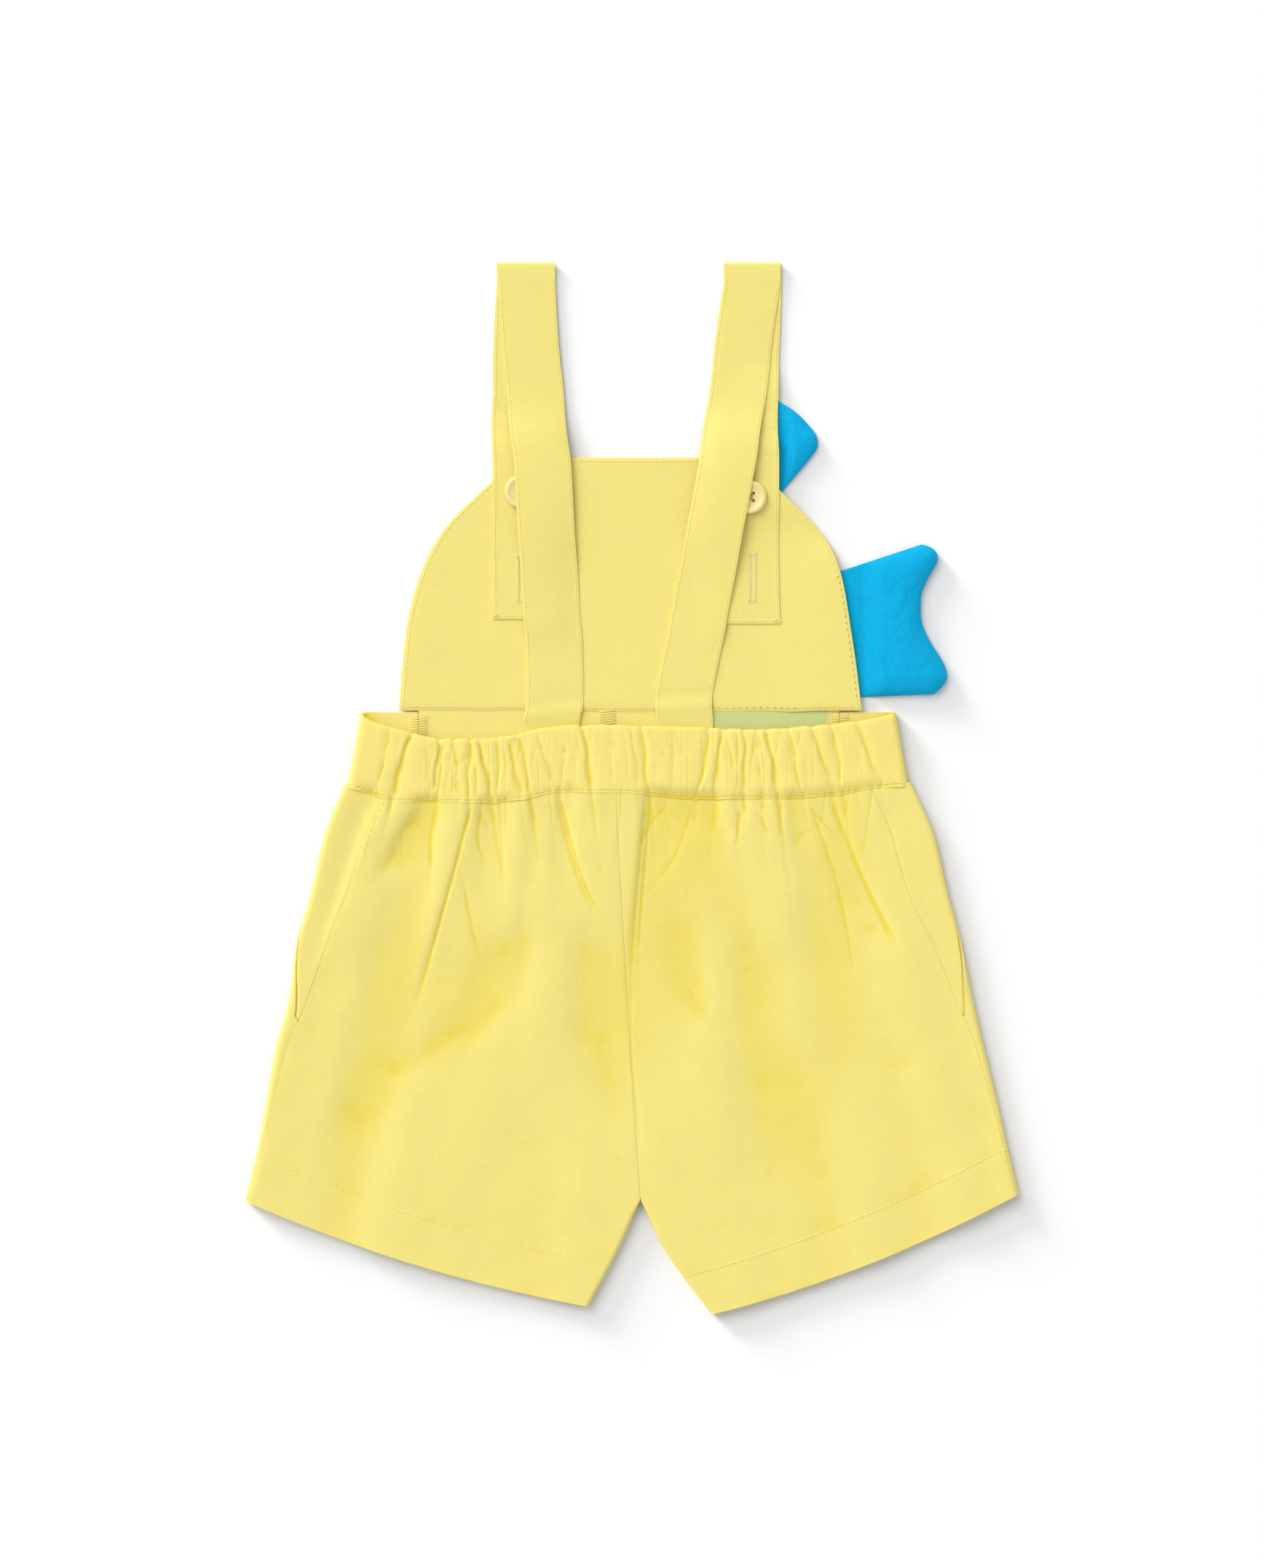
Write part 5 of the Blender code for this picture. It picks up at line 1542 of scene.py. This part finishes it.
def line_across(points, from_end, distance, lift, first=0, last=None):
    """A line across a grid where the distance from its end has one value, a lift above it."""
    raised = proud(points, np.full(points.shape[:2], lift))
    last = points.shape[1] if last is None else last
    columns = np.arange(first, last)
    order = np.arange(len(points))[::-1]
    rows = [np.interp(distance, from_end[::-1, column], order) for column in columns]
    return sampled(raised, np.array(rows), columns.astype(float))


def hem_paths(looks):
    """The hem stitching on the back of each leg."""
    lift = looks.thread_radius / MM * THREAD_SEAT
    return [line_across(*back_grid(side), HEM_DEPTH, lift, 2, BACK_COLUMNS - 1) for side in ("left", "right")]


def band_paths(looks):
    """The topstitching along the gathered band, above its stitched lip."""
    points = band_grid()
    lift = looks.thread_radius / MM * THREAD_SEAT
    row = (1 - BAND_STITCH) * (BAND_ROWS - 1)
    raised = proud(points, np.full(points.shape[:2], lift))
    columns = np.arange(14, points.shape[1] - 14).astype(float)
    return [sampled(raised, np.full_like(columns, row), columns)]


def centre_paths(looks):
    """The short topstitching beside the seam up the middle, below the waistband."""
    points, _ = back_grid("left")
    first, last = CENTRE_STITCH_ROWS
    return [line_down(points, CENTRE_INSET, False, looks.thread_radius / MM * THREAD_SEAT, first, last)]


def strap_paths(side, looks):
    """Edge-stitching down both edges of a strap's two runs, and across its square end."""
    points = strap_grid(side)
    out = looks.strap_wall / MM / 2 + looks.thread_radius / MM * EDGE_THREAD_SEAT
    split = UPPER_RUN_ROWS[side]
    lower = split + STRAP_FOLD_STEPS + 1
    paths = []
    for from_left in (True, False):
        paths.append(line_down(points, STRAP_STITCH_INSET, from_left, out, 6, split))
        paths.append(line_down(points, STRAP_STITCH_INSET, from_left, -out, lower, len(points) - 1))
    raised = proud(points, np.full(points.shape[:2], -out))
    end = len(points) - 1 - STRAP_STITCH_INSET / STRAP_STEP
    columns = np.linspace(1, STRAP_COLUMNS - 1, 30)
    paths.append(sampled(raised, np.full_like(columns, end), columns))
    return paths


def bib_path(looks):
    """Edge-stitching round the bib's two sides and its top."""
    points = lining_grid()
    lift = looks.thread_radius / MM * EDGE_THREAD_SEAT
    left = line_down(points, BIB_STITCH_INSET, True, lift, 1, len(points) - 2)
    right = line_down(points, BIB_STITCH_INSET, False, lift, 1, len(points) - 2)
    from_low = along_rows(points)[:1] - along_rows(points)
    top = line_across(points, along_rows(points), BIB_STITCH_INSET, lift, 3, BIB_COLUMNS - 2)
    low = line_across(points[::-1], from_low[::-1], BIB_STITCH_INSET, -lift, 3, BIB_COLUMNS - 2)
    return [left, right, top, low]


def bobbin_paths(looks):
    """Where the thread from underneath shows between the stitches of the bib's edge."""
    sides = bib_path(looks)
    side, low = sides[1], sides[3]
    up = side[(side[:, 1] > BOBBIN_HEIGHTS[0]) & (side[:, 1] < BOBBIN_HEIGHTS[1])]
    along = low[(low[:, 0] > BOBBIN_RUN[0]) & (low[:, 0] < BOBBIN_RUN[1])]
    return [up, along]


def satin(start, end, width, pitch):
    """A satin row between two places: short threads laid side by side across it."""
    start = np.array(start, float)
    end = np.array(end, float)
    run = end - start
    span = np.linalg.norm(run)
    side = np.array([-run[1], run[0], 0]) / span * width / 2
    swing = np.linspace(-1, 1, 5)[:, None]
    rise = np.array([0, 0, SATIN_RISE]) * (1 - swing**2)
    return [start + run * share + side * swing + rise for share in np.linspace(0, 1, round(span / pitch) + 1)]


def on_lower_run(side, x, y):
    """Height of the face of a strap's lower run."""
    sunk = float(read(STRAP_RUNS[side][1], "y", "z", y)) + STRAP_WALL / 2 - STRAP_SINK
    return sunk + float(fin_lift(np.float64(x), np.float64(y)))


def buttonhole_paths(looks):
    """Two satin rows and a bar across each end of every buttonhole, and the knots at the straps' corners."""
    paths = []
    face = looks.strap_wall / MM / 2
    for hole in BUTTONHOLES:
        side = "left" if hole.x < 0 else "right"
        low, high = (on_lower_run(side, hole.x, y) + face for y in (hole.low, hole.high))
        for across in (-SATIN_PLACE, SATIN_PLACE):
            x = hole.x + across * hole.width
            paths += satin((x, hole.low, low), (x, hole.high, high), SATIN_WIDTH, SATIN_PITCH)
        left = hole.x - hole.width / 2
        right = hole.x + hole.width / 2
        for y, z in ((hole.low, low), (hole.high, high)):
            paths += satin((left, y, z), (right, y, z), BAR_WIDTH, BAR_PITCH)
    for side, x, y in STRAP_KNOTS:
        angles = np.linspace(0, 2 * math.pi * 2.5, 40)
        z = on_lower_run(side, x, y) + face + 0.1 + 0.1 * np.sin(angles * 0.7)
        paths.append(np.stack((x + 0.75 * np.cos(angles), y + 0.5 * np.sin(angles), z), -1))
    return paths


def overlock_paths():
    """The ends of overlocked seams inside the waistband: slanting threads in a block."""
    paths = []
    for block in OVERLOCK_BLOCKS:
        for y in np.arange(block.low, block.high, 1.1):
            xs = np.linspace(block.left, block.right, 9)
            share = np.linspace(0, 1, 9)
            paths.append(np.stack((xs, y + 0.9 * share, block.z + 0.5 * np.sin(math.pi * share)), -1))
    return paths


def button_thread_paths(side):
    """Threads crossing a button's face between opposite holes, and the wound shank under it."""
    place = BUTTONS[side]
    base = button_base(place)
    holes = hole_places(place)
    face = base + BUTTON_PROFILE[0].z
    paths = []
    for first, second in ((0, 2), (1, 3)):
        for shift in (-0.3, 0.0, 0.3):
            share = np.linspace(0, 1, 15)
            (x0, y0), (x1, y1) = holes[first], holes[second]
            drop = np.abs(2 * share - 1) ** 6 * 1.4
            z = face + 0.35 + 0.1 * (first + abs(shift)) - drop
            turn = 1 if first == 0 else -1
            x = x0 + (x1 - x0) * share + shift * turn
            paths.append(np.stack((x, y0 + (y1 - y0) * share - shift, z), -1))
    angles = np.linspace(0, 2 * math.pi * 7, 150)
    low = LINING_TOP + 0.3
    z = np.linspace(low, base, len(angles))
    paths.append(np.stack((place.x + 1.4 * np.cos(angles), place.y + 1.4 * np.sin(angles), z), -1))
    return paths


# The flat cut of what shows of each piece, and the share of that rectangle that it fills
Cut = namedtuple("Cut", "width length share")
CUTS = {
    "back": Cut(178, 240, 0.7),
    "front": Cut(178, 240, 0.73),
    "hip": Cut(60, 122, 0.37),
    "waistband_back": Cut(380, 34, 1.0),
    "waistband_front": Cut(186, 36, 1.0),
    "bib": Cut(206, 112, 0.86),
    "strap": Cut(25, 360, 1.0),
}


def length(name, default, description):
    """A setting in metres."""
    kind = {"min": 0.0, "unit": "LENGTH", "subtype": "DISTANCE"}
    return FloatProperty(name=name, default=default, description=description, **kind)


def colour(name, default, description):
    """A setting for a colour."""
    kind = {"size": 4, "min": 0.0, "max": 1.0, "subtype": "COLOR"}
    return FloatVectorProperty(name=name, default=default, description=description, **kind)


def strength(name, default, description):
    """A setting for how bright a light is."""
    return FloatProperty(name=name, default=default, description=description, min=0.0)


class ROMPER_PG_looks(bpy.types.PropertyGroup):
    cloth: colour("Cloth", (0.915, 0.772, 0.232, 1), "Yellow of the poplin on its flats")
    # The creased cloth's colour is painted shade for the creases and hollows.
    crease_shade_colour: colour("Painted crease shade", (0.86, 0.68, 0.09, 1), "Deeper yellow painted as shade into the poplin's creases")
    inside_tint: colour("Inside tint", (0.62, 0.68, 0.27, 1), "Pale green on part of the waistband's inside")
    knit: colour("Knit", (0.001, 0.44, 0.79, 1), "Blue of the fins")
    button: colour("Button", (0.93, 0.79, 0.37, 1), "Pale resin of the buttons")
    button_deep: colour("Button clouds", (0.88, 0.69, 0.25, 1), "Deeper clouds in the buttons' resin")
    sewing: colour("Sewing thread", (1.0, 0.88, 0.36, 1), "Yellow of the topstitching")
    satin: colour("Buttonhole thread", (1.0, 0.86, 0.34, 1), "Pale yellow of the buttonholes and overlocking")
    button_thread: colour("Button thread", (0.60, 0.43, 0.13, 1), "Brown of the buttons' thread")
    bobbin_thread: colour("Bobbin thread", (0.05, 0.25, 0.28, 1), "Teal that shows through at the bib's edge")
    weave_pitch: length("Weave pitch", 0.00045, "Distance between threads of the weave")
    cloth_wall: length("Cloth wall", 0.0008, "Thickness of one layer of poplin")
    band_wall: length("Band wall", 0.0016, "Thickness of the gathered band, two layers and its elastic")
    strap_wall: length("Strap wall", 0.0007, "Thickness of a strap")
    thread_radius: length("Thread radius", 0.00018, "Half the thickness of the sewing thread")
    stitch_length: length("Stitch length", 0.0024, "Length of one stitch on the surface")
    stitch_pitch: length("Stitch pitch", 0.0029, "Distance from one stitch to the next")
    button_radius: length("Button radius", 0.00735, "Half the width of a button")
    key_power: strength("Key light", 1.25, "Strength of the soft key light")
    low_power: strength("Low light", 0.95, "Strength of the low light")
    skim_power: strength("Skimming light", 4.3, "Strength of the floor's own light")
    sky: strength("Sky light", 0.635, "Strength of the even white light")
    camera_height: length("Camera height", 1.6325, "Height of the camera above the floor")
    field: length("Floor size", 40.0, "Side of the plain floor")


class RomperStep:
    """What every step of the build shares: it can be undone, and it builds from the scene's settings."""

    bl_options = {"REGISTER", "UNDO"}

    def execute(self, context):
        self.build(context.scene.romper_looks)
        return {"FINISHED"}


class ROMPER_OT_stage(RomperStep, bpy.types.Operator):
    """Sets out the white floor, the soft light from the upper left and the camera straight above"""

    bl_idname = "romper.stage"
    bl_label = "Stage"

    def build(self, looks):
        scene = bpy.context.scene
        half = looks.field / 2
        mesh = bpy.data.meshes.new("floor")
        corners = [(-half, -half, 0), (half, -half, 0), (half, half, 0), (-half, half, 0)]
        mesh.from_pydata(corners, [], [(0, 1, 2, 3)])
        mesh.materials.append(floor_finish())
        floor = placed(mesh, "floor")
        world = bpy.data.worlds.new("sky")
        world.use_nodes = True
        background = world.node_tree.nodes["Background"]
        background.inputs["Color"].default_value = (1, 1, 1, 1)
        background.inputs["Strength"].default_value = looks.sky
        scene.world = world
        lamps = [
            self.lamp("key", looks.key_power, KEY_HEIGHT, KEY_ANGLE),
            self.lamp("low", looks.low_power, LOW_HEIGHT, LOW_ANGLE),
            self.lamp("skim", looks.skim_power, SKIM_HEIGHT, SKIM_ANGLE),
        ]
        # The lowest lamp lights the floor alone, so that the shadow reaches as far as the photograph's.
        lit = bpy.data.collections.new("lit by skim")
        lit.objects.link(floor)
        lamps[-1].light_linking.receiver_collection = lit
        lens = bpy.data.cameras.new("camera")
        lens.lens = LENS
        lens.sensor_width = SENSOR
        lens.clip_end = CLIP_END
        camera = bpy.data.objects.new("camera", lens)
        camera.location = (*VIEW_CENTRE, looks.camera_height)
        scene.collection.objects.link(camera)
        scene.camera = camera
        scene.view_settings.view_transform = "Standard"

    def lamp(self, name, power, height, angle):
        """A wide soft lamp from the upper left, at a height in degrees above the floor."""
        light = bpy.data.lights.new(name, "SUN")
        light.energy = power
        light.angle = math.radians(angle)
        lamp = bpy.data.objects.new(name, light)
        lamp.location = (-1, 1, math.sqrt(2) * math.tan(math.radians(height)))
        lamp.rotation_euler = (-lamp.location).to_track_quat("-Z", "Y").to_euler()
        bpy.context.scene.collection.objects.link(lamp)
        return lamp


class ROMPER_OT_shorts(RomperStep, bpy.types.Operator):
    """Lays the six panels of the shorts: backs with their folds, fronts and hip pieces"""

    bl_idname = "romper.shorts"
    bl_label = "Shorts"

    def build(self, looks):
        wall = looks.cloth_wall / MM
        for side in ("left", "right"):
            finish = poplin(f"poplin_back_{side}", looks)
            points, _ = back_grid(side)
            # The broad hollows of the back take painted shade as well.
            valley_shade = valley_shade_share(points)
            piece = cloth_piece(f"back_{side}_cloth", points, wall, finish, HOLLOW_PASSES, valley_shade)
            as_sheet(piece, CUTS["back"], [f"shorts_back_{side}"])
            points, _ = front_grid(side)
            piece = cloth_piece(f"front_{side}_cloth", points, wall, poplin(f"poplin_front_{side}", looks))
            as_sheet(piece, CUTS["front"], [f"shorts_front_{side}"])
            points, _ = hip_grid(side)
            piece = cloth_piece(f"hip_{side}_cloth", points, wall, poplin(f"poplin_hip_{side}", looks))
            as_sheet(piece, CUTS["hip"], [f"hip_piece_{side}"])


class ROMPER_OT_waistband(RomperStep, bpy.types.Operator):
    """Lays the gathered back of the waistband over its flat front"""

    bl_idname = "romper.waistband"
    bl_label = "Waistband"

    def build(self, looks):
        finish = poplin("poplin_band", looks)
        wall = looks.band_wall / MM
        piece = cloth_piece("band_back_cloth", band_grid(), wall, finish, HOLLOW_PASSES)
        as_sheet(piece, CUTS["waistband_back"], ["waistband_back"])
        points = front_band_grid()
        x = points[..., 0]
        low, high = TINTED_RUN
        tint = smooth_step((x - low) / TINT_FADE) * smooth_step((high - x) / TINT_FADE)
        finish = poplin("poplin_band_front", looks, inside=True)
        piece = cloth_piece("band_front_cloth", points, FRONT_BAND_WALL, finish, tint=tint)
        as_sheet(piece, CUTS["waistband_front"], ["waistband_front"])


class ROMPER_OT_bib(RomperStep, bpy.types.Operator):
    """Lays the two layers of the bib, its lining uppermost"""

    bl_idname = "romper.bib"
    bl_label = "Bib"

    def build(self, looks):
        lining = cloth_piece("bib_lining_cloth", lining_grid(), BIB_WALL, poplin("poplin_lining", looks))
        as_sheet(lining, CUTS["bib"], ["bib_lining"])
        points = bib_grid(CLOTH, BIB_ROWS[-1].y + BIB_LAP)
        outer = cloth_piece("bib_outer_cloth", points, BIB_WALL, poplin("poplin_bib", looks))
        as_sheet(outer, CUTS["bib"], ["bib_outer"])


class ROMPER_OT_straps(RomperStep, bpy.types.Operator):
    """Folds the two shoulder straps over, down to the waistband and to the buttons"""

    bl_idname = "romper.straps"
    bl_label = "Straps"

    def build(self, looks):
        for side in ("left", "right"):
            finish = poplin(f"poplin_strap_{side}", looks)
            wall = looks.strap_wall / MM
            piece = cloth_piece(f"strap_{side}_cloth", strap_grid(side), wall, finish, offset=0)
            as_sheet(piece, CUTS["strap"], [f"strap_{side}"])


class ROMPER_OT_buttons(RomperStep, bpy.types.Operator):
    """Turns the two buttons, drills their holes and sews them on"""

    bl_idname = "romper.buttons"
    bl_label = "Buttons"

    def build(self, looks):
        brown = thread("button thread", looks.button_thread)
        for side in ("left", "right"):
            build_button(side, looks)
            paths = button_thread_paths(side)
            sewn(f"button_{side}_thread", "laid threads", paths, brown, thread_radius=BUTTON_THREAD)


class ROMPER_OT_fins(RomperStep, bpy.types.Operator):
    """Pads the two knitted fins at the right"""

    bl_idname = "romper.fins"
    bl_label = "Fins"

    def build(self, looks):
        for fin in FINS:
            build_fin(fin, looks)


class ROMPER_OT_stitching(RomperStep, bpy.types.Operator):
    """Sews the hems, the bands, the bib, the straps and the buttonholes"""

    bl_idname = "romper.stitching"
    bl_label = "Stitching"

    def build(self, looks):
        yellow = thread("sewing thread", looks.sewing)
        pale = thread("satin thread", looks.satin)
        rows = {
            "hem_stitches": hem_paths(looks),
            "band_stitches": band_paths(looks),
            "centre_stitches": centre_paths(looks),
            "bib_stitches": bib_path(looks),
            "strap_left_stitches": strap_paths("left", looks),
            "strap_right_stitches": strap_paths("right", looks),
        }
        for name, paths in rows.items():
            sewn(
                name,
                "running stitches",
                paths,
                yellow,
                pitch=looks.stitch_pitch,
                stitch_length=looks.stitch_length,
                thread_radius=looks.thread_radius,
            )
        sewn(
            "bobbin_stitches",
            "running stitches",
            bobbin_paths(looks),
            thread("bobbin thread", looks.bobbin_thread),
            pitch=looks.stitch_pitch,
            stitch_length=looks.stitch_length * BOBBIN_LENGTH,
            thread_radius=looks.thread_radius * BOBBIN_WIDTH,
        )
        sewn("buttonhole_stitches", "laid threads", buttonhole_paths(looks), pale, thread_radius=SATIN_THREAD)
        sewn("overlock_threads", "laid threads", overlock_paths(), pale, thread_radius=OVERLOCK_THREAD)


STEPS = (
    ROMPER_OT_stage,
    ROMPER_OT_shorts,
    ROMPER_OT_waistband,
    ROMPER_OT_bib,
    ROMPER_OT_straps,
    ROMPER_OT_buttons,
    ROMPER_OT_fins,
    ROMPER_OT_stitching,
)


class ROMPER_PT_panel(bpy.types.Panel):
    """Lists the settings and the steps of the build"""

    bl_idname = "ROMPER_PT_panel"
    bl_label = "Dungaree Romper"
    bl_space_type = "VIEW_3D"
    bl_region_type = "UI"
    bl_category = "Romper"

    def draw(self, context):
        for step in STEPS:
            self.layout.operator(step.bl_idname)
        looks = context.scene.romper_looks
        for name in looks.__annotations__:
            self.layout.prop(looks, name)


CLASSES = (ROMPER_PG_looks, *STEPS, ROMPER_PT_panel)


def register():
    for item in CLASSES:
        bpy.utils.register_class(item)
    bpy.types.Scene.romper_looks = PointerProperty(type=ROMPER_PG_looks)


def unregister():
    del bpy.types.Scene.romper_looks
    for item in reversed(CLASSES):
        bpy.utils.unregister_class(item)


def write_sizes():
    """Brings the scene's placements up to date."""
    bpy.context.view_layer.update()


def main():
    write_sizes()
    register()
    for step in STEPS:
        group, name = step.bl_idname.split(".")
        getattr(getattr(bpy.ops, group), name)()
    write_sizes()


if __name__ == "__main__":
    main()
